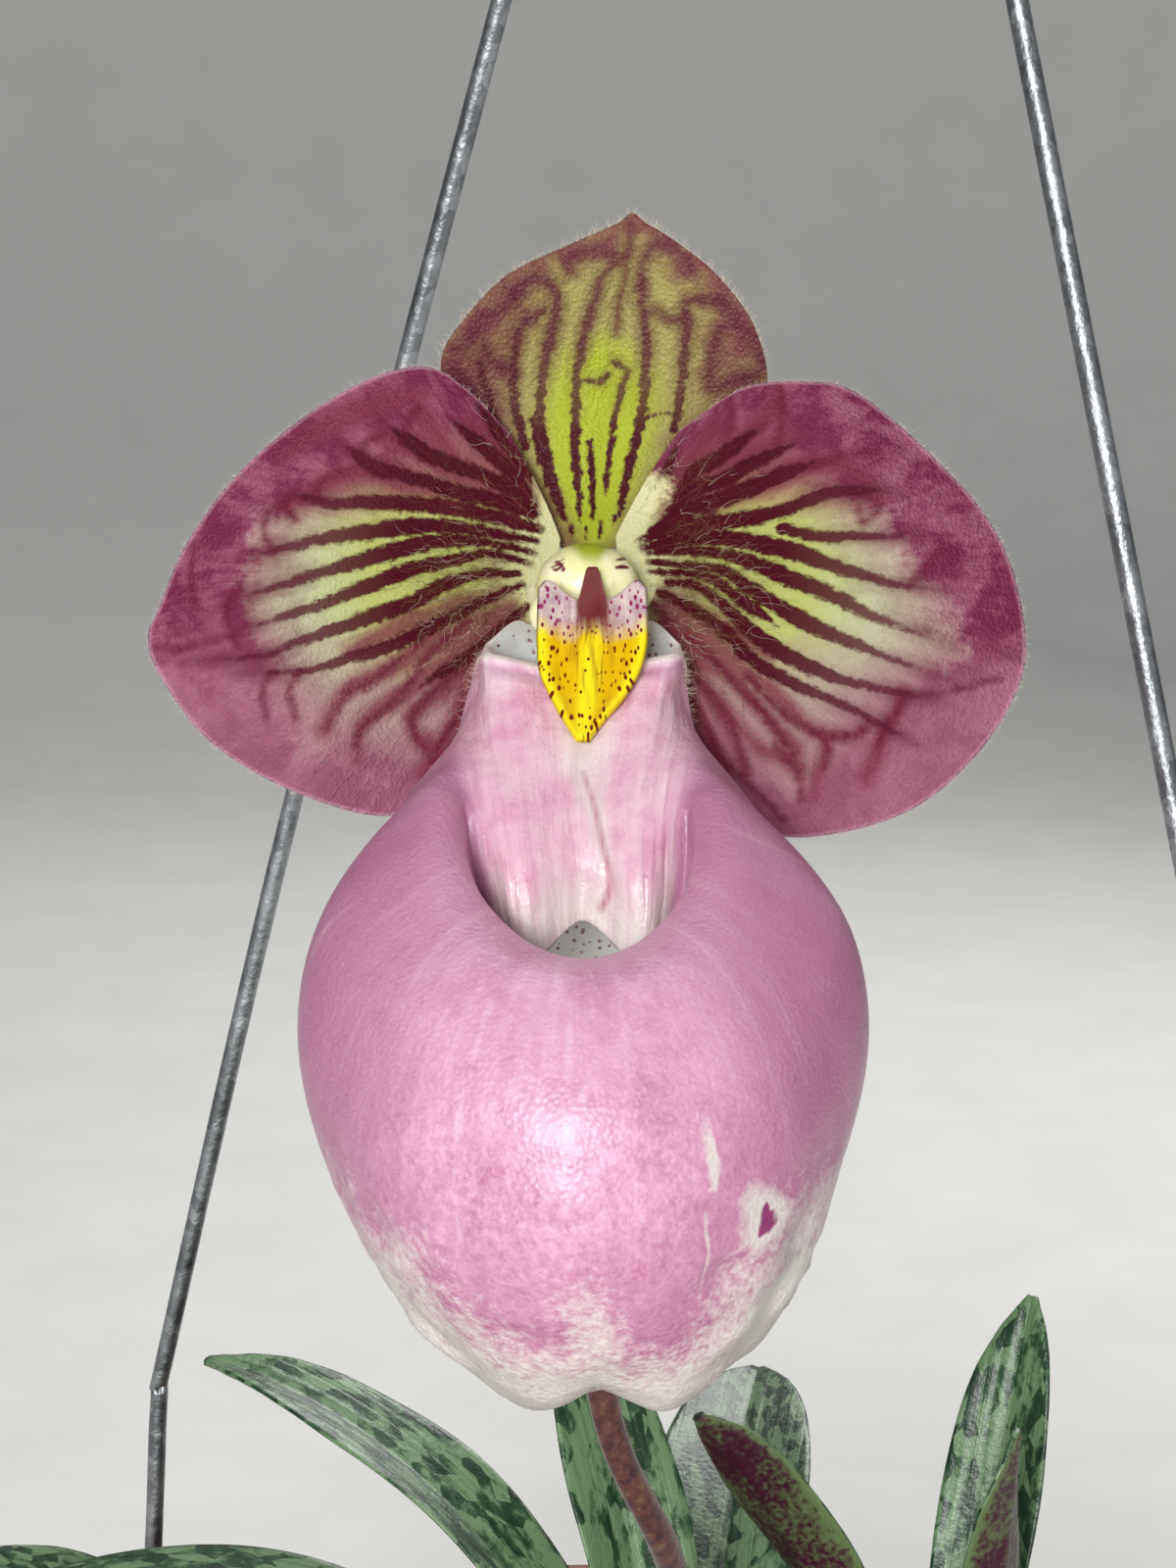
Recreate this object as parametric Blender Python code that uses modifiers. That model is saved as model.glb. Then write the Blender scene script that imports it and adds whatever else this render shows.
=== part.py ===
"""A slipper orchid (Paphiopedilum micranthum) in flower, in a plastic pot that hangs on two wires.

World frame: metres, +Z up, origin at the centre of the pot's base, the flower faces -Y.
The flower's pieces are drawn in millimetres in the flower's own frame: x to its right as seen
from the front, y away from the viewer and z up, with the origin at the base of the column.
"""
import math
import random

import bpy
from mathutils import Matrix, Vector

MM = 0.001
GAP = 0.3

# Driving dimensions, in millimetres and degrees.
POT_HEIGHT = 110.0
POT_BASE_RADIUS = 58.0
POT_TOP_RADIUS = 77.0
POT_WALL = 1.8
RIM_RADIUS = 88.0
RIM_THICKNESS = 4.0
DRAIN_RADIUS = 4.5
DRAIN_CIRCLE = 40.0
DRAIN_COUNT = 6
MIX_LEVEL = 100.0

FLOWER_PLACE = (-14.4, -41.7, 270.0)
FLOWER_TIP_BACK = 12.0
FLOWER_LEAN = 1.8
PETAL_THICKNESS = 1.0
SEPAL_THICKNESS = 0.9
POUCH_THICKNESS = 0.9
STAMINODE_THICKNESS = 1.0
LEAF_THICKNESS = 1.1
SCAPE_RADIUS = 1.5

WIRE_RADIUS = 1.1
WIRE_HOLE_RADIUS = 1.5
HANGER_DIRECTION = -34.9
HANGER_RIM_RADIUS = 81.0
HANGER_KINK_RADIUS = 79.3
HANGER_KINK_HEIGHT = 154.8
HANGER_TOP = 418.0
HOOK_RADIUS = 13.0

MAIN_CROWN = (2.0, 4.0)
SIDE_CROWN = (-31.0, -12.0)
YOUNG_CROWN = (33.0, 30.0)

for old_object in list(bpy.data.objects):
    bpy.data.objects.remove(old_object, do_unlink=True)

plant = bpy.data.collections.new("potted_slipper_orchid")
cutters = bpy.data.collections.new("cutters")
bpy.context.scene.collection.children.link(plant)
bpy.context.scene.collection.children.link(cutters)


# Materials


def material(name, colour, roughness, metallic=0.0):
    """A Principled material; the colour is linear red, green and blue."""
    made = bpy.data.materials.new(name)
    made.use_nodes = True
    made.diffuse_color = (*colour, 1.0)
    shader = made.node_tree.nodes["Principled BSDF"]
    shader.inputs["Base Color"].default_value = (*colour, 1.0)
    shader.inputs["Roughness"].default_value = roughness
    shader.inputs["Metallic"].default_value = metallic
    return made


PETAL_PURPLE = material("petal_purple", (0.27, 0.03, 0.13), 0.45)
SEPAL_GREEN = material("sepal_green", (0.42, 0.36, 0.06), 0.45)
POUCH_PINK = material("pouch_pink", (0.58, 0.26, 0.45), 0.40)
STAMINODE_YELLOW = material("staminode_yellow", (0.85, 0.68, 0.02), 0.35)
COLUMN_WHITE = material("column_white", (0.65, 0.68, 0.42), 0.30)
SCAPE_BROWN = material("scape_brown", (0.06, 0.015, 0.02), 0.60)
LEAF_GREEN = material("leaf_green", (0.03, 0.09, 0.035), 0.40)
BARK = material("bark", (0.10, 0.045, 0.02), 0.90)
POT_PLASTIC = material("pot_plastic", (0.16, 0.05, 0.025), 0.55)
GALVANISED_WIRE = material("galvanised_wire", (0.45, 0.46, 0.47), 0.45, 0.9)


# Helpers for points, sheets, tubes and turned shapes


def curve_through(points, steps):
    """Points on a smooth curve through the given points, with some steps to each span."""
    points = [Vector(point) for point in points]
    first = points[0] * 2 - points[1]
    last = points[-1] * 2 - points[-2]
    padded = [first, *points, last]
    path = []
    for index in range(1, len(padded) - 2):
        before, start, end, after = padded[index - 1:index + 3]
        for step in range(steps):
            path.append(spline_point(before, start, end, after, step / steps))
    path.append(points[-1])
    return path


def spline_point(before, start, end, after, share):
    """One point of a Catmull-Rom span."""
    bend = 2 * before - 5 * start + 4 * end - after
    twist = 3 * (start - end) + after - before
    return (2 * start + (end - before) * share + bend * share ** 2 + twist * share ** 3) / 2


def along(points, share):
    """The point at a share of a polyline's length."""
    lengths = [0.0]
    for first, second in zip(points, points[1:]):
        lengths.append(lengths[-1] + (second - first).length)
    wanted = share * lengths[-1]
    for index in range(len(points) - 1):
        if wanted <= lengths[index + 1] or index == len(points) - 2:
            span = lengths[index + 1] - lengths[index]
            return points[index].lerp(points[index + 1], (wanted - lengths[index]) / span)


def blend(low, high, value):
    """0 below low and 1 above high, with a smooth step between."""
    share = min(max((value - low) / (high - low), 0.0), 1.0)
    return share * share * (3 - 2 * share)


def add_object(name, mesh, surface, placed=None):
    mesh.materials.append(surface)
    made = bpy.data.objects.new(name, mesh)
    if placed is not None:
        mesh.transform(placed)
    plant.objects.link(made)
    for face in mesh.polygons:
        face.use_smooth = True
    return made


def sheet(name, rows, thickness, surface, placed, closed=False):
    """A thin sheet over rows of points: triangles alike on both faces, then Solidify."""
    width = len(rows[0])
    points = [tuple(point) for row in rows for point in row]
    faces = []
    spans = width if closed else width - 1
    for row in range(len(rows) - 1):
        for column in range(spans):
            following = (column + 1) % width
            a, b = row * width + column, row * width + following
            c, d = b + width, a + width
            faces += [(a, b, c), (a, c, d)]
    mesh = bpy.data.meshes.new(name)
    mesh.from_pydata(points, [], faces)
    made = add_object(name, mesh, surface, placed)
    solid = made.modifiers.new("thickness", "SOLIDIFY")
    solid.thickness = thickness * MM
    solid.offset = 0.0
    return made


def tube(name, path, radius, surface, placed, sides=8, taper=None):
    """A round rod along a path, as a curve with a bevel and filled caps."""
    curve = bpy.data.curves.new(name, "CURVE")
    curve.dimensions = "3D"
    curve.bevel_depth = radius * MM
    curve.bevel_resolution = sides // 2 - 2
    curve.use_fill_caps = True
    line = curve.splines.new("POLY")
    line.points.add(len(path) - 1)
    for index, place in enumerate(path):
        line.points[index].co = (*(placed @ Vector(place)), 1.0)
        line.points[index].radius = taper(index / (len(path) - 1)) if taper else 1.0
    curve.materials.append(surface)
    made = bpy.data.objects.new(name, curve)
    plant.objects.link(made)
    return made


def turned(name, profile, surface, steps):
    """A turned shape: a profile of (radius, height) that runs down the outside and back up."""
    mesh = bpy.data.meshes.new(name)
    points = [(radius * MM, 0.0, height * MM) for radius, height in profile]
    mesh.from_pydata(points, [(index, index + 1) for index in range(len(points) - 1)], [])
    made = bpy.data.objects.new(name, mesh)
    mesh.materials.append(surface)
    plant.objects.link(made)
    screw = made.modifiers.new("turn", "SCREW")
    screw.axis = "Z"
    screw.angle = math.tau
    screw.steps = steps
    screw.render_steps = steps
    screw.use_merge_vertices = True
    screw.merge_threshold = 0.00001
    screw.use_smooth_shade = True
    return made


def cylinder_cutter(name, radius, depth, place, sides=16):
    """A cylinder that is cut away from another piece, in millimetres."""
    bpy.ops.mesh.primitive_cylinder_add(
        vertices=sides, radius=radius * MM, depth=depth * MM, location=Vector(place) * MM)
    made = bpy.context.object
    made.name = name
    for holder in list(made.users_collection):
        holder.objects.unlink(made)
    cutters.objects.link(made)
    made.display_type = "WIRE"
    made.hide_render = True
    return made


def cut(target, cutter):
    away = target.modifiers.new(cutter.name, "BOOLEAN")
    away.operation = "DIFFERENCE"
    away.solver = "EXACT"
    away.object = cutter


def joined(name, pieces, surface, solver="EXACT"):
    """One closed body from several overlapping objects."""
    group = bpy.data.collections.new(name + "_parts")
    bpy.context.scene.collection.children.link(group)
    for piece in pieces[1:]:
        for holder in list(piece.users_collection):
            holder.objects.unlink(piece)
        group.objects.link(piece)
    union = pieces[0].modifiers.new("join", "BOOLEAN")
    union.operation = "UNION"
    union.solver = solver
    union.operand_type = "COLLECTION"
    union.collection = group
    bpy.context.view_layer.update()
    seen = pieces[0].evaluated_get(bpy.context.evaluated_depsgraph_get())
    mesh = bpy.data.meshes.new_from_object(seen)
    mesh.transform(pieces[0].matrix_world)
    for piece in pieces:
        bpy.data.objects.remove(piece, do_unlink=True)
    bpy.data.collections.remove(group)
    mesh.name = name
    mesh.materials.clear()
    return add_object(name, mesh, surface)


# The flower faces the viewer: tipped back and leaning a little to its right.
flower = (Matrix.Translation(Vector(FLOWER_PLACE) * MM)
          @ Matrix.Rotation(math.radians(-FLOWER_TIP_BACK), 4, "X")
          @ Matrix.Rotation(math.radians(-FLOWER_LEAN), 4, "Y")
          @ Matrix.Scale(MM, 4))
pot_frame = Matrix.Scale(MM, 4)


# Pot: moulded plastic, with a flat rim that carries the wires and drain holes in its base.


def make_pot():
    inner_top = POT_TOP_RADIUS - POT_WALL
    inner_base = POT_BASE_RADIUS - POT_WALL
    profile = [
        (inner_top, POT_HEIGHT), (RIM_RADIUS, POT_HEIGHT),
        (RIM_RADIUS, POT_HEIGHT - RIM_THICKNESS), (POT_TOP_RADIUS, POT_HEIGHT - RIM_THICKNESS),
        (POT_BASE_RADIUS, 1.5), (POT_BASE_RADIUS - 1.5, 0.0), (0.0, 0.0)]
    inside = [(0.0, 2.0), (inner_base, 2.0), (inner_top, POT_HEIGHT)]
    pot = turned("pot", profile + inside, POT_PLASTIC, 64)
    for index in range(DRAIN_COUNT):
        angle = math.tau * index / DRAIN_COUNT
        place = (DRAIN_CIRCLE * math.cos(angle), DRAIN_CIRCLE * math.sin(angle), 1.0)
        cut(pot, cylinder_cutter(f"drain_hole_{index + 1}", DRAIN_RADIUS, 8.0, place))
    for side in (-1, 1):
        place = hanger_point(side, HANGER_RIM_RADIUS, POT_HEIGHT - RIM_THICKNESS / 2)
        cut(pot, cylinder_cutter(f"wire_hole_{side}", WIRE_HOLE_RADIUS, 10.0, place))


def hanger_point(side, radius, height):
    """A point in the upright plane of the hanger; side 1 is the near, right wire."""
    angle = math.radians(HANGER_DIRECTION)
    return (side * radius * math.cos(angle), side * radius * math.sin(angle), height)


# Hanger: galvanised wire. The left wire carries on up as the hook; the right one is wound on it.
FOOT_TURN = 2.3
FOOT_DROP = 1.2
SHANK_LENGTH = 14.0
HOOK_TURN = 245.0
COIL_TURNS = 3


def wire_foot(side):
    """From the hook under the rim, up through its hole to the kink."""
    under = POT_HEIGHT - RIM_THICKNESS - 2 * GAP
    points = [hanger_point(side, HANGER_RIM_RADIUS + 2 * FOOT_TURN, under)]
    for step in range(7):
        angle = math.pi * step / 6
        radius = HANGER_RIM_RADIUS + FOOT_TURN + FOOT_TURN * math.cos(angle)
        points.append(hanger_point(side, radius, under - FOOT_DROP - FOOT_TURN * math.sin(angle)))
    points.append(hanger_point(side, HANGER_RIM_RADIUS, POT_HEIGHT + 3))
    rise = [
        hanger_point(side, HANGER_KINK_RADIUS + 0.8, HANGER_KINK_HEIGHT - 20),
        hanger_point(side, HANGER_KINK_RADIUS + 0.1, HANGER_KINK_HEIGHT - 4),
        hanger_point(side, HANGER_KINK_RADIUS - 1.3, HANGER_KINK_HEIGHT + 3)]
    return points + rise


def make_left_wire():
    span = HANGER_TOP - HANGER_KINK_HEIGHT
    bow = [
        hanger_point(-1, HANGER_KINK_RADIUS * 0.76 + 1.2, HANGER_KINK_HEIGHT + 0.25 * span),
        hanger_point(-1, HANGER_KINK_RADIUS * 0.51 + 1.5, HANGER_KINK_HEIGHT + 0.50 * span),
        hanger_point(-1, HANGER_KINK_RADIUS * 0.26 + 1.0, HANGER_KINK_HEIGHT + 0.75 * span),
        hanger_point(-1, 1.2, HANGER_TOP - 3)]
    shank_top = HANGER_TOP + SHANK_LENGTH
    shank = [(0.0, 0.0, HANGER_TOP + 1), (0.0, 0.0, shank_top)]
    hook = []
    for step in range(15):
        angle = math.radians(-90 + HOOK_TURN * step / 14)
        reach = HOOK_RADIUS * math.cos(angle)
        height = shank_top + 3 + HOOK_RADIUS * (1 + math.sin(angle))
        hook.append(hanger_point(1, reach, height))
    tube("hanger_wire_left", wire_foot(-1) + bow + shank + hook, WIRE_RADIUS, GALVANISED_WIRE,
         pot_frame)


def make_right_wire():
    coil_radius = 2 * WIRE_RADIUS + GAP
    pitch = 2 * WIRE_RADIUS + 2 * GAP
    start = math.radians(HANGER_DIRECTION)
    coil = []
    for step in range(COIL_TURNS * 12 + 1):
        angle = start + math.tau * step / 12
        height = HANGER_TOP + 1.5 + pitch * step / 12
        coil.append((coil_radius * math.cos(angle), coil_radius * math.sin(angle), height))
    approach = [hanger_point(1, coil_radius + 1.1, HANGER_TOP - 3)]
    tube("hanger_wire_right", wire_foot(1) + approach + coil, WIRE_RADIUS, GALVANISED_WIRE,
         pot_frame)


# Potting mix: coarse bark, in plain contact with the pot, with holes for the three crowns.
MIX_MOUND = 2.5
MIX_LOW = 2.3
CHIP_COUNT = 105
CHIP_CLEARANCE = 16.0
CHIP_LENGTHS = (8, 15)
CHIP_WIDTHS = (5, 9)
CHIP_DEPTHS = (2.5, 4.5)
CHIP_TILT = 0.45
GOLDEN_TURN = math.pi * (3 - math.sqrt(5))


def make_mix():
    slope = (POT_TOP_RADIUS - POT_BASE_RADIUS) / (POT_HEIGHT - RIM_THICKNESS - 1.5)
    low_radius = POT_BASE_RADIUS - POT_WALL - 2 * GAP
    top_radius = low_radius + slope * (MIX_LEVEL - MIX_LOW) * 0.95
    profile = [(0.0, MIX_LEVEL + MIX_MOUND), (top_radius, MIX_LEVEL), (low_radius, MIX_LOW),
               (0.0, MIX_LOW)]
    body = turned("mix_body", profile, BARK, 40)
    draw = random.Random(7)
    pieces = [body]
    crowns = (MAIN_CROWN, SIDE_CROWN, YOUNG_CROWN)
    for index in range(CHIP_COUNT):
        radius = (top_radius - 8) * math.sqrt((index + 0.5) / CHIP_COUNT)
        angle = GOLDEN_TURN * index
        x, y = radius * math.cos(angle), radius * math.sin(angle)
        if min(math.hypot(x - cx, y - cy) for cx, cy in crowns) < CHIP_CLEARANCE:
            continue
        size = (draw.uniform(*CHIP_LENGTHS), draw.uniform(*CHIP_WIDTHS), draw.uniform(*CHIP_DEPTHS))
        surface_height = MIX_LEVEL + MIX_MOUND * (1 - radius / top_radius)
        place = Vector((x, y, surface_height + 0.2 * size[2])) * MM
        bpy.ops.mesh.primitive_cube_add(size=MM, location=place)
        chip = bpy.context.object
        chip.name = f"chip_{index}"
        chip.scale = size
        chip.rotation_euler = (draw.uniform(-CHIP_TILT, CHIP_TILT), draw.uniform(-CHIP_TILT, CHIP_TILT),
                               draw.uniform(0, math.pi))
        pieces.append(chip)
    mix = joined("potting_mix", pieces, BARK, "MANIFOLD")
    for index, (x, y) in enumerate(crowns):
        hole = cylinder_cutter(f"crown_hole_{index + 1}", CROWN_RADIUS + GAP, 30,
                               (x, y, MIX_LEVEL + 5), 20)
        cut(mix, hole)


# Crowns: the short stems, each set in its hole in the bark.
CROWN_RADIUS = 5.0
CROWN_SUNK = 9.0


def make_crown(name, place, height):
    """A tapered stub that stands in the bark."""
    profile = [(0.0, height), (2.6, height), (4.0, height - 1.0), (CROWN_RADIUS, height - 3.5),
               (CROWN_RADIUS, -CROWN_SUNK), (0.0, -CROWN_SUNK)]
    crown = turned(name, profile, LEAF_GREEN, 20)
    crown.location = Vector((*place, MIX_LEVEL)) * MM


# Leaves: keeled straps that rise from the crown and arch over.


LEAF_FOLD = math.radians(30)


def leaf_width(share):
    """Half width as a share of the leaf's full half width, from base to tip."""
    shape = curve_through([(0, 0.30, 0), (0.12, 0.42, 0), (0.35, 0.86, 0), (0.60, 1.0, 0),
                           (0.80, 0.84, 0), (0.92, 0.52, 0), (1.0, 0.10, 0)], 8)
    for first, second in zip(shape, shape[1:]):
        if share <= second.x + 1e-9:
            return first.y + (second.y - first.y) * (share - first.x) / (second.x - first.x)
    return shape[-1].y


def make_leaf(name, crown, base_height, turn, length, width, rise, droop, swing=0.0, roll=0.0):
    """turn is the compass angle, rise the angle at the base and droop what it loses by the tip."""
    rows = []
    stations = 11
    heading = math.radians(turn)
    base_half = width / 2 * leaf_width(0.0)
    edge_lift = (base_half * math.sin(LEAF_FOLD) + LEAF_THICKNESS / 2) * math.sin(math.radians(rise))
    clear = CROWN_RADIUS + GAP
    reach = math.sqrt(clear ** 2 - (base_half * math.cos(LEAF_FOLD)) ** 2) + edge_lift
    reach = max(reach, clear + LEAF_THICKNESS / 2)
    place = Vector((crown[0] + reach * math.cos(heading), crown[1] + reach * math.sin(heading),
                    MIX_LEVEL + base_height))
    for station in range(stations):
        share = station / (stations - 1)
        heading = math.radians(turn + swing * share * share)
        pitch = math.radians(rise - droop * share)
        flat = Vector((math.cos(heading), math.sin(heading), 0))
        ahead = flat * math.cos(pitch) + Vector((0, 0, math.sin(pitch)))
        across = Vector((-math.sin(heading), math.cos(heading), 0))
        across = Matrix.Rotation(math.radians(roll * share), 3, ahead) @ across
        up = ahead.cross(across).normalized()
        up = up if up.z > -0.2 else -up
        half = width / 2 * leaf_width(share)
        fold = LEAF_FOLD * (1 - 0.67 * share)
        row = []
        for step in range(-3, 4):
            side = step / 3
            lift = half * abs(side) ** 1.3 * math.sin(fold)
            row.append(place + across * half * side * math.cos(fold) + up * lift)
        rows.append(row)
        place = place + ahead * length / (stations - 1)
    return sheet(name, rows, LEAF_THICKNESS, LEAF_GREEN, pot_frame)


def make_leaves():
    make_crown("crown_main", MAIN_CROWN, 22.0)
    make_crown("crown_side", SIDE_CROWN, 16.0)
    make_crown("crown_young", YOUNG_CROWN, 9.0)
    make_leaf("leaf_main_1", MAIN_CROWN, 3.5, 84, 88, 21, 50, 54, -4)
    make_leaf("leaf_main_2", MAIN_CROWN, 3.5, 180, 108, 20, 68, 112, 6)
    make_leaf("leaf_main_3", MAIN_CROWN, 5.0, -8, 114, 21, 66, 104, -8)
    make_leaf("leaf_main_4", MAIN_CROWN, 10.0, 154, 84, 16, 74, 74, 2)
    make_leaf("leaf_main_5", MAIN_CROWN, 16.0, 124, 60, 16, 82, 34, 0)
    make_leaf("leaf_side_1", SIDE_CROWN, 3.0, 262, 92, 20, 48, 74, -12)
    make_leaf("leaf_side_2", SIDE_CROWN, 3.0, 138, 84, 19, 50, 66, 14)
    make_leaf("leaf_side_3", SIDE_CROWN, 9.0, 214, 80, 18, 62, 80, -10)
    make_leaf("leaf_side_4", SIDE_CROWN, 6.0, 318, 88, 19, 44, 66, -16)
    make_leaf("leaf_young_1", YOUNG_CROWN, 2.0, 300, 58, 13, 84, -4, 40)
    make_leaf("leaf_young_2", YOUNG_CROWN, 2.0, 62, 66, 14, 80, 8, -10)
    make_leaf("leaf_young_3", YOUNG_CROWN, 2.0, 198, 66, 14, 82, 36, 0, 50)


# Scape, bract and ovary: the dark flower stem and what joins it to the flower.


def flower_to_pot(point):
    """A point of the flower's frame, in millimetres in the world frame."""
    return (flower @ Vector(point)) / MM


def scape_path():
    top = flower_to_pot((1.6, 21.0, -41.0))
    below_pouch = flower_to_pot((1.2, 23.5, -79.0))
    lower = flower_to_pot((8.5, 34.0, -100.0))
    foot = Vector((*MAIN_CROWN, MIX_LEVEL + 22.0 + GAP + 0.1))
    near_foot = foot + Vector((0.3, -1.5, 12))
    return curve_through([foot, near_foot, lower, below_pouch, top], 5)


def make_scape():
    tube("scape", scape_path(), SCAPE_RADIUS, SCAPE_BROWN, pot_frame, 10)
    pedicel = [(1.6, 21.0, -40.5), (1.5, 21.3, -30), (1.1, 20.6, -18), (0.6, 16.5, -6.5),
               (0.2, 10.5, -0.3), (0, 6.5, 0.4), (0, 4.1, 0.4)]

    def swelling(share):
        return 0.62 + 0.38 * math.sin(math.pi * share) ** 0.8 + 0.18 * blend(0.8, 1.0, share)

    tube("ovary", curve_through(pedicel, 3), 2.5, SCAPE_BROWN, flower, 10, swelling)
    rows = []
    stations = 9
    for station in range(stations):
        share = station / (stations - 1)
        row = []
        half_angle = 115 * (1 - share) ** 0.6 + 6
        centre = Vector((1.6, 21.2, -43.0)).lerp(Vector((1.5, 22.8, -25.0)), share)
        radius = 2.35 + 2.0 * share ** 1.2
        for step in range(9):
            angle = math.radians(90 + half_angle * (step - 4) / 4)
            row.append(centre + Vector((math.cos(angle), math.sin(angle), 0)) * radius)
        rows.append(row)
    sheet("bract", rows, 0.7, LEAF_GREEN, flower)


# Petals and sepals: thin sheets whose rows of points run out from the base like their veins.
SIDE_BULGE = 0.1


def fan_sheet(name, base, outline, depth, thickness, surface, rays=27, rings=6, spread=0.42):
    """base is the two ends of the base line; outline runs on from the first round to the second.

    The first and last rays are the straight sides by the base. Each ray between them is a
    quadratic curve that leaves the base nearer the middle line than its end lies.
    depth(x, z, out) gives y, where out is 0 at the base and 1 at the rim.
    """
    edge = curve_through([(x, 0.0, z) for x, z in outline], 8)
    base_start, base_end = (Vector((x, 0.0, z)) for x, z in base)
    middle = along(edge, 0.5)
    rows = [[] for _ in range(rings + 1)]
    for ray in range(rays + 1):
        share = ray / rays
        start = base_start.lerp(base_end, share)
        end = along(edge, share)
        straight = start.lerp(end, 0.5)
        toward = start + (middle - start).normalized() * (end - start).length * 0.5
        sway = spread - (spread + SIDE_BULGE) * abs(2 * share - 1) ** 3
        bend = straight.lerp(toward, sway)
        for ring in range(rings + 1):
            out = ring / rings
            spot = start * (1 - out) ** 2 + bend * 2 * out * (1 - out) + end * out ** 2
            rows[ring].append(Vector((spot.x, depth(spot.x, spot.z, out), spot.z)))
    return sheet(name, rows, thickness, surface, flower)


PETAL_LEFT = [(-7.3, 12.0), (-11.1, 15.9), (-15.4, 18.0), (-22.3, 15.7),
              (-30.7, 9.6), (-36.4, 2.6), (-39.4, -4.3), (-40.3, -6.6), (-39.4, -10.0),
              (-34.9, -16.1), (-28.2, -20.4), (-20.0, -23.1), (-15.0, -22.2), (-10.8, -18.4)]
PETAL_RIGHT = [(8.4, 12.2), (14.2, 16.0), (20.2, 16.6), (25.0, 15.4),
               (32.5, 9.0), (37.3, 3.2), (39.6, -3.0), (39.9, -9.9), (36.2, -16.8), (30.0, -22.4),
               (22.2, -24.9), (16.0, -24.6), (10.8, -20.6)]
DORSAL = [(-12.8, 13.6), (-13.5, 18.4), (-11.6, 21.6), (-7.3, 25.8),
          (-1.6, 28.6), (4.0, 30.8), (7.0, 29.4), (11.7, 25.9), (15.3, 21.2), (16.4, 15.4),
          (12.6, 8.2)]
SYNSEPAL = [(8.4, -8.0), (11.0, -14.5), (9.6, -21.0), (5.0, -26.4), (0.0, -28.6),
            (-5.0, -26.4), (-9.6, -21.0), (-11.0, -14.5), (-8.4, -8.0)]


def petal_depth(x, z, out):
    """Flat from the base, with soft waves, the rim rolled back a little."""
    side = abs(x)
    base = 1.5 * (1 - blend(3.0, 9.0, math.hypot(x, z)))
    behind_pouch = 1.4 * blend(-8.0, -20.0, z) * (1 - blend(16.0, 26.0, side))
    wave = 0.55 * math.sin(side / 5.2 + 0.6) * math.sin(z / 6.5 + (0.8 if x > 0 else 0.0))
    cup = -2.4 * blend(6.0, 30.0, side) + 2.2 * blend(0.72, 1.0, out) * blend(12.0, 30.0, side)
    return base + behind_pouch + cup + wave * blend(9.0, 20.0, side)


def dorsal_depth(x, z, _out):
    """Behind the petals below, hooded forward above, the middle line set back."""
    hood = -8.5 * blend(13.0, 34.0, z)
    cup = -2.2 * blend(14.0, 22.0, z) * min(abs(x - z * 0.12) / 15.0, 1.0) ** 2
    return 3.2 - 0.7 * blend(4.0, 11.0, z) + hood + cup


def synsepal_depth(x, z, _out):
    return 4.6 + 3.4 * blend(-3.0, -26.0, z) - 1.5 * (abs(x) / 11.0) ** 2 * blend(-6.0, -14.0, z)


def make_petals():
    fan_sheet("petal_left", ((-2.6, 2.4), (-2.8, -2.6)), PETAL_LEFT, petal_depth,
              PETAL_THICKNESS, PETAL_PURPLE)
    fan_sheet("petal_right", ((2.6, 2.6), (2.8, -2.6)), PETAL_RIGHT, petal_depth,
              PETAL_THICKNESS, PETAL_PURPLE)
    fan_sheet("dorsal_sepal", ((-2.4, 1.6), (2.6, 1.6)), DORSAL, dorsal_depth,
              SEPAL_THICKNESS, SEPAL_GREEN, 24, 6, 0.35)
    fan_sheet("synsepal", ((2.4, -2.1), (-2.4, -2.1)), SYNSEPAL, synsepal_depth,
              SEPAL_THICKNESS, SEPAL_GREEN, 18, 5, 0.35)


# Column: a pale mound between the petal bases, with an anther at each side below.


def ball(name, radii, place, segments=18, rings=10):
    bpy.ops.mesh.primitive_uv_sphere_add(segments=segments, ring_count=rings, radius=1.0)
    made = bpy.context.object
    made.name = name
    made.data.transform(flower @ Matrix.Translation(place) @ Matrix.Diagonal((*radii, 1.0)))
    return made


def make_column():
    mound = ball("mound", (4.7, 4.3, 3.55), (0, -3.4, -1.95))
    anthers = [ball(f"anther_{side}", (1.5, 1.6, 1.9), (side * 3.9, -4.9, -4.9), 12, 8)
               for side in (-1, 1)]
    joined("column", [mound, *anthers], COLUMN_WHITE)


# Staminode: a shield with two upper lobes, a tongue between them that joins it to the column, a
# centre ridge and edges rolled forward. The line gives its middle, x, y and z, and its half width.
STAMINODE_LINE = [(0.40, -8.6, -3.9), (0.40, -8.8, -6.0), (0.35, -9.4, -8.0), (0.15, -10.3, -10.2),
                  (-0.05, -11.5, -12.5), (-0.35, -13.0, -14.7), (-0.45, -14.2, -16.3)]
STAMINODE_HALF_WIDTHS = [4.7, 4.8, 4.75, 4.35, 3.2, 1.7, 0.6]
STAMINODE_LOBE = 1.8
STAMINODE_TONGUE = 3.0


def staminode_rise(side):
    """How far the top edge stands above its two notches; side runs from -1 to 1."""
    lobe = STAMINODE_LOBE * min(max((abs(side) - 0.3) / 0.55, 0.0), 1.0)
    lobe *= 1 - 0.35 * blend(0.85, 1.0, abs(side))
    return lobe + STAMINODE_TONGUE * (1 - blend(0.0, 0.3, abs(side)))


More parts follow.
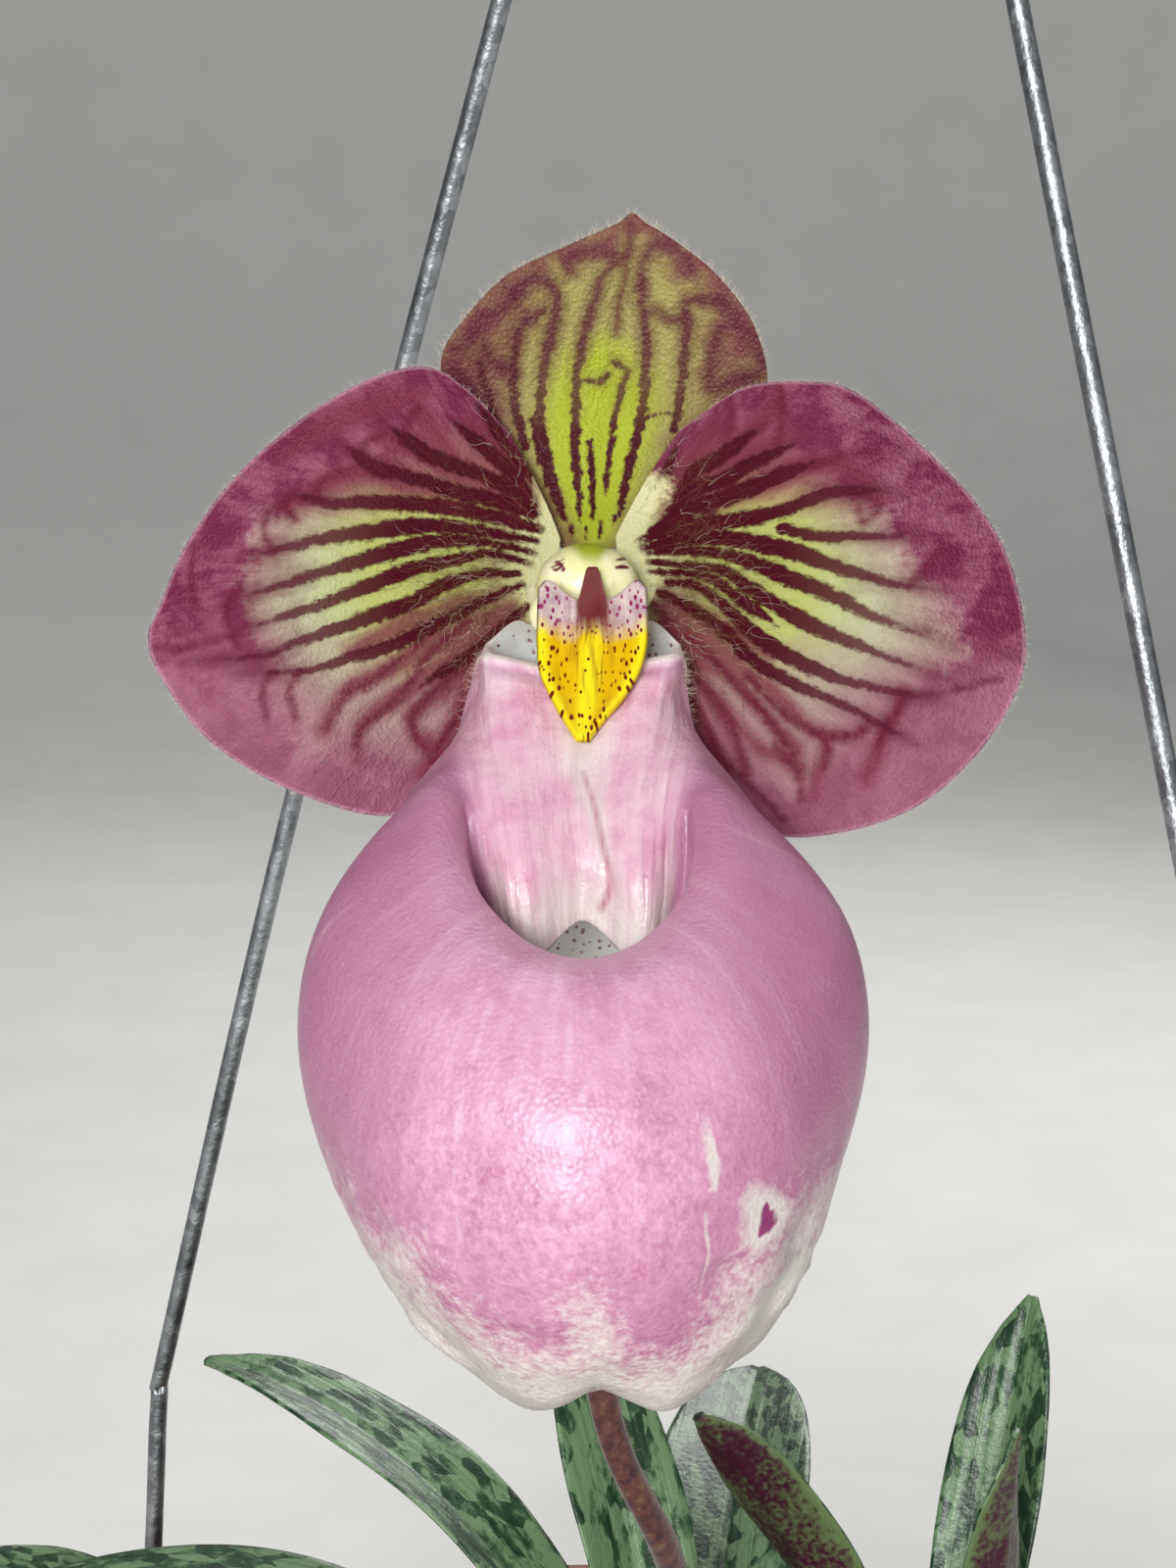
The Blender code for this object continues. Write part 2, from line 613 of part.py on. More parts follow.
def make_staminode():
    line = curve_through(STAMINODE_LINE, 3)
    widths = curve_through([(half, 0.0, 0.0) for half in STAMINODE_HALF_WIDTHS], 3)
    rows = []
    for point, width in zip(line, widths):
        half = width.x
        near_top = blend(-7.0, -3.9, point.z)
        row = []
        for step in range(-6, 7):
            side = step / 6
            rise = staminode_rise(side) * near_top
            rolled = -0.9 * abs(side) ** 3 * (half / 5) ** 2
            ridge = -0.5 * max(0.0, 1 - abs(side) * 3.0) * blend(-5.0, -9.0, point.z)
            ridge *= blend(1.0, 4.0, half)
            row.append(point + Vector((half * side, rolled + ridge, rise)))
        rows.append(row)
    sheet("staminode", rows, STAMINODE_THICKNESS, STAMINODE_YELLOW, flower)


# Pouch: a hollow lip, one sheet. Each rib runs from the edge of the mouth over the rim, round
# the pouch and up to the neck that holds the column: inner edge, inner wall, crest, shoulder,
# upper flank, widest, lower, back low, back high, neck edge. The ribs go from the front round
# one side to the cleft between the two in-folded lobes, and are mirrored.
POUCH_RIBS = [
    [(0, -27.2, -41.4), (0, -29.6, -38.0), (0, -32.2, -35.0), (0, -38.0, -37.6), (0, -42.8, -47.0),
     (0, -41.0, -59.5), (0, -28.0, -70.2), (0, -7.5, -67.0), (0, 3.0, -42.0), (0, -2.2, -6.1)],
    [(4.6, -26.2, -40.6), (4.7, -28.4, -36.8), (4.9, -30.6, -33.6), (8.4, -36.0, -36.2),
     (12.2, -39.2, -46.0), (12.4, -35.6, -59.6), (6.6, -23.4, -72.4), (6.6, -6.0, -66.0),
     (3.6, 3.0, -41.0), (1.9, -2.3, -6.1)],
    [(8.0, -23.4, -37.0), (8.5, -25.2, -33.4), (8.9, -27.2, -29.8), (13.0, -30.6, -32.4),
     (18.4, -31.8, -40.0), (21.0, -27.2, -50.4), (16.8, -18.0, -62.8), (10.6, -3.6, -57.5),
     (6.4, 2.4, -38.0), (3.6, -2.6, -6.4)],
    [(9.4, -20.2, -32.0), (10.0, -21.6, -28.6), (10.5, -22.6, -25.2), (14.4, -24.4, -26.8),
     (21.6, -22.6, -31.6), (23.8, -18.0, -40.0), (20.4, -8.6, -46.6), (14.6, -2.0, -44.0),
     (8.6, 0.4, -31.0), (6.1, -2.7, -5.4)],
    [(8.8, -17.8, -31.2), (9.5, -18.4, -26.0), (10.2, -18.4, -21.8), (12.6, -17.4, -20.6),
     (14.4, -14.6, -21.6), (16.9, -10.4, -24.6), (15.9, -6.0, -26.6), (12.8, -3.6, -24.4),
     (10.0, -2.8, -16.2), (8.4, -3.4, -7.3)],
    [(6.8, -19.0, -33.0), (7.5, -19.2, -28.6), (8.0, -18.6, -24.0), (9.0, -16.0, -19.8),
     (9.5, -12.8, -17.4), (10.1, -9.6, -16.2), (9.9, -6.8, -14.8), (9.3, -5.2, -12.8),
     (9.2, -4.9, -10.2), (8.5, -5.4, -8.1)],
    [(4.4, -20.6, -35.4), (4.9, -21.3, -31.6), (5.1, -21.0, -27.4), (5.4, -18.8, -23.0),
     (5.9, -16.0, -19.4), (6.4, -13.4, -16.4), (6.8, -11.4, -14.0), (7.1, -9.8, -12.0),
     (7.3, -8.6, -10.2), (7.4, -7.6, -8.8)],
    [(0, -18.2, -32.0), (0, -18.8, -29.2), (0, -18.9, -26.2), (0, -17.4, -22.8),
     (0, -15.2, -19.6), (0, -13.2, -16.8), (0, -11.5, -14.6), (0, -10.0, -12.8),
     (0, -8.8, -11.3), (0, -7.9, -10.1)],
]
POUCH_STEPS_ROUND = 3
POUCH_STEPS_ALONG = 2


def pouch_rows():
    ribs = [curve_through(rib, POUCH_STEPS_ALONG) for rib in POUCH_RIBS]
    mirror = Matrix.Diagonal((-1.0, 1.0, 1.0))
    rows = []
    for index in range(len(ribs[0])):
        key = [rib[index] for rib in ribs]
        opposite = [mirror @ point for point in key]
        round_trip = key + opposite[-2:0:-1]
        padded = [round_trip[-1], *round_trip, round_trip[0], round_trip[1]]
        row = []
        for spot in range(len(round_trip)):
            before, start, end, after = padded[spot:spot + 4]
            for step in range(POUCH_STEPS_ROUND):
                point = spline_point(before, start, end, after, step / POUCH_STEPS_ROUND)
                row.append(point + Vector((pouch_lean(point.z), 0, 0)))
        rows.append(row)
    return rows


def pouch_lean(height):
    """The neck leans to one side and the foot to the other."""
    neck = blend(-34.0, -20.0, height) * blend(-6.0, -14.0, height)
    return -0.4 - 0.6 * neck + 1.4 * blend(-50.0, -73.0, height)


def make_pouch():
    sheet("pouch", pouch_rows(), POUCH_THICKNESS, POUCH_PINK, flower, True)


make_pot()
make_left_wire()
make_right_wire()
make_mix()
make_leaves()
make_scape()
make_petals()
make_column()
make_staminode()
make_pouch()
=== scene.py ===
"""Looks of a potted slipper orchid in flower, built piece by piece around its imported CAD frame."""

import math
import bmesh
import bpy
import numpy as np
from mathutils import Matrix, Vector


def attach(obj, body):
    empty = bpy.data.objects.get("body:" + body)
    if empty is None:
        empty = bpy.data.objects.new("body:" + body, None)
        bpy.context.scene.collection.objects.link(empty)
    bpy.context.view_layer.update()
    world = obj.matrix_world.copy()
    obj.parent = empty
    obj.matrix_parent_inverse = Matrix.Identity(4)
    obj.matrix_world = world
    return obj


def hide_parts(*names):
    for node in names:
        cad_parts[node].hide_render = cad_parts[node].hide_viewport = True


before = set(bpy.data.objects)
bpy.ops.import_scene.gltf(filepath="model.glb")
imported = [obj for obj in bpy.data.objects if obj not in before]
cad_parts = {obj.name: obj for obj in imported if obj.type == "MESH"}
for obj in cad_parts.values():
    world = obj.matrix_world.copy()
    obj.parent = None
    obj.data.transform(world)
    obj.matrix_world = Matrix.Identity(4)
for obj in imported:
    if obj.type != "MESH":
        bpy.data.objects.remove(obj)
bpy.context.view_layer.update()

# Camera: level with the bloom and square to it, 300 mm away, as a close flower portrait is taken.
# The flower tips back and leans, and the camera's own axes are the flower's.
MM = 0.001
FLOWER_PLACE = (-14.4, -41.7, 270.0)
FLOWER_TIP_BACK = 12.0
FLOWER_LEAN = 1.8
CAMERA_AWAY = 300.0
CAMERA_DROP = 20.25
CAMERA_LENS = 75.0
flower = (Matrix.Translation(Vector(FLOWER_PLACE) * MM)
          @ Matrix.Rotation(math.radians(-FLOWER_TIP_BACK), 4, "X")
          @ Matrix.Rotation(math.radians(-FLOWER_LEAN), 4, "Y")
          @ Matrix.Scale(MM, 4))
pot_frame = Matrix.Scale(MM, 4)
camera = bpy.data.objects.new("camera", bpy.data.cameras.new("camera"))
bpy.context.scene.collection.objects.link(camera)
camera.data.lens = CAMERA_LENS
camera.data.clip_start = 0.01
look = flower.to_3x3().normalized() @ Matrix.Rotation(math.radians(90), 3, "X")
camera.matrix_world = Matrix.Translation(flower @ Vector((0, -CAMERA_AWAY, -CAMERA_DROP))) @ look.to_4x4()
bpy.context.scene.camera = camera
bpy.context.scene.view_settings.view_transform = "Standard"


# Pot: a round flower pot of moulded polypropylene, 176 mm across its flat rim, with two moulded
# bands under the rim, a foot ring and drain holes. It leaves the mould in one piece.
POT_HEIGHT = 110.0
POT_BASE_RADIUS = 58.0
POT_TOP_RADIUS = 77.0
POT_WALL = 1.8
RIM_RADIUS = 88.0
RIM_THICKNESS = 4.0
RIM_ROUND = 0.9
FOOT_HEIGHT = 0.7
DRAIN_RADIUS = 4.5
DRAIN_CIRCLE = 40.0
DRAIN_COUNT = 6
WIRE_HOLE_RADIUS = 1.5
HANGER_DIRECTION = -34.9
HANGER_RIM_RADIUS = 81.0
POT_COLOUR = "#7a4632"
POT_COLOUR_WORN = "#8b5a45"


def linear(text):
    """A colour written as sRGB hex, turned to linear red, green, blue and alpha."""
    shares = [int(text[start:start + 2], 16) / 255 for start in (1, 3, 5)]
    return (*[s / 12.92 if s <= 0.04045 else ((s + 0.055) / 1.055) ** 2.4 for s in shares], 1.0)


def substance(name, sockets):
    """A Principled material with its plain values set on the shader's own sockets."""
    made = bpy.data.materials.new(name)
    made.use_nodes = True
    shader = made.node_tree.nodes["Principled BSDF"]
    for socket, value in sockets.items():
        shader.inputs[socket].default_value = value
    return made, made.node_tree, shader


def add(tree, kind, inputs=None, out=0, stops=None, **settings):
    """Adds a node, sets or links its inputs, and gives back one of its outputs.

    A Mix node mixes colours, which may be hex text. A Math node multiplies its first two inputs and
    adds a third if there is one, unless its operation is given.
    """
    made = tree.nodes.new("ShaderNode" + kind)
    inputs = inputs or {}
    if kind == "Mix":
        made.data_type = "RGBA"
        out = 2
    if kind == "Math":
        made.operation = "MULTIPLY_ADD" if len(inputs) == 3 else "MULTIPLY"
    for name, value in settings.items():
        setattr(made, name, value)
    for socket, value in inputs.items():
        if isinstance(value, bpy.types.NodeSocket):
            tree.links.new(value, made.inputs[socket])
        else:
            made.inputs[socket].default_value = linear(value) if isinstance(value, str) else value
    if stops:
        ramp = made.color_ramp.elements
        while len(ramp) < len(stops):
            ramp.new(1.0)
        for element, (place, colour) in zip(ramp, stops):
            element.position = place
            element.color = linear(colour)
    return made.outputs[out]


def wire(shader, links):
    """Links sockets of a material's Principled shader."""
    for socket, source in links.items():
        shader.id_data.links.new(source, shader.inputs[socket])


def smooth_mesh(name, points, quads):
    """An object of smooth four-sided faces over points."""
    mesh = bpy.data.meshes.new(name)
    mesh.from_pydata(points.reshape(-1, 3).tolist(), [], quads.reshape(-1, 4).tolist())
    mesh.polygons.foreach_set("use_smooth", [True] * len(mesh.polygons))
    made = bpy.data.objects.new(name, mesh)
    bpy.context.scene.collection.objects.link(made)
    return made


def skin(name, rows, closed=False):
    """A smooth mesh of four-sided faces over rows of points; closed joins the ends of each row."""
    rows = np.asarray(rows, dtype=float)
    count, width = rows.shape[:2]
    index = np.arange(count * width).reshape(count, width)
    following = np.roll(index, -1, axis=1)
    quads = np.stack([index[:-1], following[:-1], following[1:], index[1:]], axis=-1)
    if not closed:
        quads = quads[:, :-1]
    return smooth_mesh(name, rows, quads)


def weld(made):
    """Merges points that meet, as at the pole of a turned shape, and faces the skin outward."""
    shape = bmesh.new()
    shape.from_mesh(made.data)
    bmesh.ops.remove_doubles(shape, verts=shape.verts, dist=1e-7)
    bmesh.ops.recalc_face_normals(shape, faces=shape.faces)
    shape.to_mesh(made.data)
    shape.free()
    return made


def turned(name, profile, steps, swell=None):
    """A turned shape from (radius, height) in millimetres; swell scales the radius by angle."""
    angles = np.linspace(0, math.tau, steps, endpoint=False)
    rows = []
    for radius, height in profile:
        reach = radius * (swell(angles, height) if swell else np.ones(steps))
        ring = np.stack([reach * np.cos(angles), reach * np.sin(angles), np.full(steps, height)], axis=-1)
        rows.append(ring * MM)
    return weld(skin(name, rows, closed=True))


def fit(piece, surface, slot, *nodes):
    """Gives a piece its material and lets it ride for the nodes it stands for; slot is not used."""
    piece.data.materials.clear()
    for each in surface if isinstance(surface, list) else [surface]:
        piece.data.materials.append(each)
    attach(piece, "root")
    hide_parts(*nodes)


def drill(target, holes):
    """Cuts round holes of (radius, x, y, height) in millimetres, each 12 mm deep."""
    cutters = []
    for radius, x, y, height in holes:
        profile = [(0, -6), (radius, -6), (radius, 6), (0, 6)]
        cutter = turned("drill", profile, 32)
        cutter.data.transform(Matrix.Translation(Vector((x, y, height)) * MM))
        away = target.modifiers.new("hole", "BOOLEAN")
        away.operation = "DIFFERENCE"
        away.solver = "EXACT"
        away.object = cutter
        cutters.append(cutter)
    bpy.context.view_layer.update()
    seen = target.evaluated_get(bpy.context.evaluated_depsgraph_get())
    mesh = bpy.data.meshes.new_from_object(seen)
    target.modifiers.clear()
    target.data = mesh
    for cutter in cutters:
        bpy.data.objects.remove(cutter, do_unlink=True)


def hanger_point(side, radius, height):
    """A point in the upright plane of the hanger, in millimetres; side 1 is the near, right wire."""
    angle = math.radians(HANGER_DIRECTION)
    return (side * radius * math.cos(angle), side * radius * math.sin(angle), height)


def wall_at(height):
    """The pot's outer radius at a height."""
    return POT_BASE_RADIUS + (POT_TOP_RADIUS - POT_BASE_RADIUS) * height / (POT_HEIGHT - RIM_THICKNESS)


rim_under = POT_HEIGHT - RIM_THICKNESS
pot_profile = [(RIM_RADIUS - RIM_ROUND, POT_HEIGHT)]
for edge_height, start_angle in ((POT_HEIGHT - RIM_ROUND, 90), (rim_under + RIM_ROUND, 0)):
    for turn_step in range(5):
        angle = math.radians(start_angle - 90 * turn_step / 4)
        pot_profile.append((RIM_RADIUS - RIM_ROUND + RIM_ROUND * math.cos(angle),
                            edge_height + RIM_ROUND * math.sin(angle)))
pot_profile += [(POT_TOP_RADIUS + 1.2, rim_under), (POT_TOP_RADIUS + 0.3, rim_under - 0.4),
                (wall_at(rim_under - 1.4), rim_under - 1.4)]
for band in (97.0, 90.0):
    for drop, proud in ((1.6, 0.0), (1.0, 0.55), (-1.0, 0.55), (-1.6, 0.0)):
        pot_profile.append((wall_at(band + drop) + proud, band + drop))
pot_profile += [(wall_at(60.0), 60.0), (wall_at(30.0), 30.0), (wall_at(3.0), 3.0),
                (POT_BASE_RADIUS - 0.2, 1.2), (POT_BASE_RADIUS - 0.9, 0.3), (POT_BASE_RADIUS - 1.8, 0.0),
                (POT_BASE_RADIUS - 5.0, 0.0), (POT_BASE_RADIUS - 5.8, FOOT_HEIGHT), (0.0, FOOT_HEIGHT),
                (0.0, 2.0), (POT_BASE_RADIUS - POT_WALL - 1.6, 2.0), (POT_BASE_RADIUS - POT_WALL, 3.4),
                (wall_at(60.0) - POT_WALL, 60.0), (POT_TOP_RADIUS - POT_WALL - 0.2, POT_HEIGHT - 0.6),
                (POT_TOP_RADIUS - POT_WALL + 0.5, POT_HEIGHT), (RIM_RADIUS - RIM_ROUND, POT_HEIGHT)]
pot = turned("flower_pot", pot_profile, 128)
holes = [(DRAIN_RADIUS, DRAIN_CIRCLE * math.cos(math.tau * k / DRAIN_COUNT),
          DRAIN_CIRCLE * math.sin(math.tau * k / DRAIN_COUNT), 1.0) for k in range(DRAIN_COUNT)]
holes += [(WIRE_HOLE_RADIUS, *hanger_point(side, HANGER_RIM_RADIUS, POT_HEIGHT - 2.0)) for side in (-1, 1)]
drill(pot, holes)

# Moulded polypropylene: a satin surface, a little paler where it is scuffed, with the fine orange
# peel of the mould about 0.6 mm across.
pot_plastic, tree, shader = substance("moulded_polypropylene", {"Roughness": 0.48, "IOR": 1.49})
place = add(tree, "TexCoord", out=3)
scuff = add(tree, "TexNoise", {0: place, "Scale": 1000 / 22.0, "Detail": 8.0, "Roughness": 0.65})
dust = add(tree, "TexNoise", {0: place, "Scale": 1000 / 1.4, "Detail": 3.0})
worn = add(tree, "MapRange", {0: scuff, "From Min": 0.48, "From Max": 0.72})
flecks = add(tree, "MapRange", {0: dust, "From Min": 0.58, "From Max": 0.75, "To Max": 0.5})
amount = add(tree, "Math", {0: worn, 1: flecks}, operation="MAXIMUM")
colour = add(tree, "Mix", {0: amount, 6: POT_COLOUR, 7: POT_COLOUR_WORN})
peel = add(tree, "TexNoise", {0: place, "Scale": 1000 / 0.6, "Detail": 2.0})
bump = add(tree, "Bump", {"Height": peel, "Strength": 0.12, "Distance": 0.0002})
rough = add(tree, "MapRange", {0: scuff, "To Min": 0.40, "To Max": 0.62})
wire(shader, {"Base Color": colour, "Roughness": rough, "Normal": bump})
fit(pot, pot_plastic, "pot_plastic", "pot")


# Potting mix: coarse conifer bark, packed by hand to a finger below the rim and heaped a little in
# the middle. Loose chips 6 to 14 mm long lie on top, some on edge.
MIX_LEVEL = 100.0
MIX_MOUND = 2.5
MIX_LOW = 2.3
MAIN_CROWN = (2.0, 4.0)
SIDE_CROWN = (-31.0, -12.0)
YOUNG_CROWN = (33.0, 30.0)
CROWN_RADIUS = 5.0
CHIP_COUNT = 330
CHIP_CLEARANCE = 15.0
CHIP_LENGTHS = (6, 14)
CHIP_WIDTHS = (4, 8.5)
CHIP_DEPTHS = (1.8, 3.8)
CHIP_TILT = 0.42
CHIP_LAYERS = ((-0.5, 0.80), (-0.36, 1.0), (0.0, 1.04), (0.36, 0.98), (0.5, 0.78))
GOLDEN_TURN = math.pi * (3 - math.sqrt(5))
BARK_DARK = "#2a1710"
BARK_BROWN = "#6b4026"
BARK_RED = "#8a5632"
BARK_GREY = "#96806a"


def ripple(points, size, seed):
    """Smooth noise in -1 to 1 over points in millimetres, from seeded waves; size is its scale."""
    draw = np.random.default_rng(seed)
    points = np.asarray(points, dtype=float)
    total = np.zeros(points.shape[:-1])
    for octave in range(3):
        for _ in range(5):
            way = draw.normal(size=3)
            way *= math.tau / (size / 1.7 ** octave) / np.linalg.norm(way)
            total += np.sin(points @ way + draw.uniform(0, math.tau)) / 1.6 ** octave
    return total / 5.0


mix_top = wall_at(MIX_LEVEL) - POT_WALL - 0.5
mix_low = wall_at(MIX_LOW) - POT_WALL - 0.8
mix_rings = [(mix_top * share, MIX_LEVEL + MIX_MOUND * (1 - share)) for share in np.linspace(0, 1, 30)]
mix = turned("bark_bed", [*mix_rings, (mix_low, MIX_LOW), (0.0, MIX_LOW)], 96)
bed = np.array([vertex.co for vertex in mix.data.vertices]) / MM
on_top = bed[:, 2] > MIX_LEVEL - 0.5
bed[:, 2] += np.where(on_top, 0.9 * ripple(bed, 6.0, 11) - 0.7, 0.0)
mix.data.vertices.foreach_set("co", (bed * MM).ravel())

chips = bmesh.new()
tone_layer = chips.verts.layers.float.new("tone")
draw = np.random.default_rng(7)
crowns = np.array([MAIN_CROWN, SIDE_CROWN, YOUNG_CROWN])
for index in range(CHIP_COUNT):
    reach = (mix_top - 4) * math.sqrt((index + 0.5) / CHIP_COUNT)
    x = reach * math.cos(GOLDEN_TURN * index)
    y = reach * math.sin(GOLDEN_TURN * index)
    near = float(np.min(np.hypot(crowns[:, 0] - x, crowns[:, 1] - y)))
    size = np.array([draw.uniform(*limits) for limits in (CHIP_LENGTHS, CHIP_WIDTHS, CHIP_DEPTHS)])
    tilt = draw.uniform(-CHIP_TILT, CHIP_TILT, 2)
    turn = draw.uniform(0, math.pi)
    corners = int(draw.integers(6, 9))
    corner_turns = (np.arange(corners) + draw.uniform(-0.28, 0.28, corners)) * math.tau / corners
    corner_reach = draw.uniform(0.42, 0.56, corners)
    tone = draw.uniform()
    if near < CROWN_RADIUS + 7.0:
        continue
    if near < CHIP_CLEARANCE:
        size *= (0.55, 0.55, 0.4)
        tilt *= 0.3
    height = MIX_LEVEL + MIX_MOUND * (1 - reach / mix_top) + 0.25 * size[2]
    pose = (Matrix.Translation(Vector((x, y, height)) * MM) @ Matrix.Rotation(turn, 4, "Z")
            @ Matrix.Rotation(tilt[0], 4, "X") @ Matrix.Rotation(tilt[1], 4, "Y"))
    rings = []
    for level, spread in CHIP_LAYERS:
        shift = draw.uniform(-0.03, 0.03, (corners, 2))
        ring = []
        for corner in range(corners):
            flat = corner_reach[corner] * spread
            spot = Vector(((flat * math.cos(corner_turns[corner]) + shift[corner][0]) * size[0],
                           (flat * math.sin(corner_turns[corner]) + shift[corner][1]) * size[1],
                           level * size[2])) * MM
            point = chips.verts.new(pose @ spot)
            point[tone_layer] = tone
            ring.append(point)
        rings.append(ring)
    for lower, upper in zip(rings, rings[1:]):
        for corner in range(corners):
            after = (corner + 1) % corners
            chips.faces.new((lower[corner], lower[after], upper[after], upper[corner]))
    chips.faces.new(rings[0][::-1])
    chips.faces.new(rings[-1])
chip_mesh = bpy.data.meshes.new("bark_chips")
chips.to_mesh(chip_mesh)
chips.free()
bark_chips = bpy.data.objects.new("bark_chips", chip_mesh)
bpy.context.scene.collection.objects.link(bark_chips)

# Conifer bark: dry cork in thin layers, red-brown inside, grey outside, with painted shade in its cracks.
bark, tree, shader = substance("rough_conifer_bark", {"Roughness": 0.9, "IOR": 1.45})
place = add(tree, "TexCoord", out=3)
tone = add(tree, "Attribute", out=2, attribute_name="tone")
blotch = add(tree, "TexNoise", {0: place, "Scale": 1000 / 5.0, "Detail": 6.0, "Roughness": 0.7})
mixed = add(tree, "Math", {0: blotch, 1: tone}, operation="ADD")
mixed = add(tree, "MapRange", {0: mixed, "From Min": 0.35, "From Max": 1.65})
colour = add(tree, "ValToRGB", {0: mixed}, stops=[(0.0, BARK_DARK), (0.35, BARK_BROWN), (0.65, BARK_RED),
                                                  (1.0, BARK_GREY)])
cracks = add(tree, "TexVoronoi", {0: place, "Scale": 1000 / 1.8}, feature="DISTANCE_TO_EDGE")
layers = add(tree, "TexNoise", {0: place, "Scale": 1000 / 0.9, "Detail": 5.0, "Roughness": 0.75})
# Painted shade: the cracks, about 1.8 mm apart, are darkened toward the darkest bark tone.
depth = add(tree, "MapRange", {0: cracks, "From Max": 0.12})
shade = add(tree, "Mix", {0: depth, 6: BARK_DARK, 7: colour})
relief = add(tree, "Math", {0: layers, 1: depth})
bump = add(tree, "Bump", {"Height": relief, "Strength": 0.8, "Distance": 0.0008})
wire(shader, {"Base Color": shade, "Normal": bump})
fit(mix, bark, "bark", "potting_mix")
fit(bark_chips, bark, "bark", "potting_mix")


# Hanger: two galvanised steel wires, 2.2 mm thick, hooked through the rim and bent in to one point.
# The left wire carries on up as the hook, and the right one is wound round it.
WIRE_RADIUS = 1.1
HANGER_KINK_RADIUS = 79.3
HANGER_KINK_HEIGHT = 154.8
HANGER_TOP = 418.0
HOOK_RADIUS = 13.0
FOOT_TURN = 2.3
FOOT_DROP = 1.2
SHANK_LENGTH = 14.0
HOOK_TURN = 245.0
COIL_TURNS = 3
GAP = 0.3
ZINC = "#8f9498"
ZINC_BRIGHT = "#b7bcc0"
ZINC_DULL = "#6c7175"


def span(before, start, end, after, share):
    """Points of one Catmull-Rom span."""
    bend = 2 * before - 5 * start + 4 * end - after
    twist = 3 * (start - end) + after - before
    return (2 * start + (end - before) * share + bend * share ** 2 + twist * share ** 3) / 2


def smooth_line(points, steps):
    """Points on a smooth curve through the given ones, with some steps to each span."""
    points = np.asarray(points, dtype=float)
    padded = np.vstack([2 * points[0] - points[1], points, 2 * points[-1] - points[-2]])
    share = (np.arange(steps) / steps)[:, None]
    spans = [span(*padded[index:index + 4], share) for index in range(len(points) - 1)]
    return np.vstack([*spans, points[-1:]])


def pipe_rows(path, radii, sides):
    """Rings of points round a path, turned as little as may be from one to the next."""
    path = np.asarray(path, dtype=float)
    ahead = np.gradient(path, axis=0)
    ahead /= np.linalg.norm(ahead, axis=1)[:, None]
    across = np.cross(ahead[0], (0.3, 0.9, 0.2))
    angles = np.linspace(0, math.tau, sides, endpoint=False)
    rows = []
    for spot, way, radius in zip(path, ahead, radii):
        across = across - way * (across @ way)
        across /= np.linalg.norm(across)
        other = np.cross(way, across)
        ring = np.cos(angles)[:, None] * across + np.sin(angles)[:, None] * other
        rows.append(spot + radius[:, None] * ring)
    return np.array(rows)


def rod(name, path, radius, sides, placed):
    """A round rod with domed ends along a path in millimetres; radius may vary along and round it."""
    path = np.asarray(path, dtype=float)
    radii = np.ones((len(path), sides)) * (radius[:, None] if np.ndim(radius) == 1 else radius)
    rows = pipe_rows(path, radii, sides)
    first, last = path[0], path[-1]
    out_first = (first - path[1]) / np.linalg.norm(first - path[1])
    out_last = (last - path[-2]) / np.linalg.norm(last - path[-2])
    start, end = [], []
    for step in range(1, 5):
        angle = math.radians(90 * step / 4)
        dome = 0.4 * math.sin(angle)
        start.insert(0, first + (rows[0] - first) * math.cos(angle) + out_first * radii[0][0] * dome)
        end.append(last + (rows[-1] - last) * math.cos(angle) + out_last * radii[-1][0] * dome)
    made = skin(name, [*start, *rows, *end], closed=True)
    made.data.transform(placed)
    return weld(made)


def wire_foot(side):
    """From the hook under the rim, up through its hole to the kink."""
    under = rim_under - 2 * GAP
    points = [hanger_point(side, HANGER_RIM_RADIUS + 2 * FOOT_TURN, under)]
    for step in range(7):
        angle = math.pi * step / 6
        radius = HANGER_RIM_RADIUS + FOOT_TURN + FOOT_TURN * math.cos(angle)
        points.append(hanger_point(side, radius, under - FOOT_DROP - FOOT_TURN * math.sin(angle)))
    points.append(hanger_point(side, HANGER_RIM_RADIUS, POT_HEIGHT + 3))
    return points + [hanger_point(side, HANGER_KINK_RADIUS + 0.8, HANGER_KINK_HEIGHT - 20),
                     hanger_point(side, HANGER_KINK_RADIUS + 0.1, HANGER_KINK_HEIGHT - 4),
                     hanger_point(side, HANGER_KINK_RADIUS - 1.3, HANGER_KINK_HEIGHT + 3)]


rise = HANGER_TOP - HANGER_KINK_HEIGHT
left_path = wire_foot(-1)
for share, bow in ((0.25, 1.2), (0.50, 1.5), (0.75, 1.0)):
    inward = HANGER_KINK_RADIUS * (1.01 - share)
    left_path.append(hanger_point(-1, inward + bow, HANGER_KINK_HEIGHT + share * rise))
shank_top = HANGER_TOP + SHANK_LENGTH
left_path += [hanger_point(-1, 1.2, HANGER_TOP - 3), (0, 0, HANGER_TOP + 1), (0, 0, shank_top)]
for step in range(15):
    angle = math.radians(-90 + HOOK_TURN * step / 14)
    left_path.append(hanger_point(1, HOOK_RADIUS * math.cos(angle),
                                  shank_top + 3 + HOOK_RADIUS * (1 + math.sin(angle))))
coil_radius = 2 * WIRE_RADIUS + GAP
coil_pitch = 2 * WIRE_RADIUS + 2 * GAP
right_path = wire_foot(1) + [hanger_point(1, coil_radius + 1.1, HANGER_TOP - 3)]
for step in range(COIL_TURNS * 12 + 1):
    angle = math.radians(HANGER_DIRECTION) + math.tau * step / 12
    right_path.append((coil_radius * math.cos(angle), coil_radius * math.sin(angle),
                       HANGER_TOP + 1.5 + coil_pitch * step / 12))

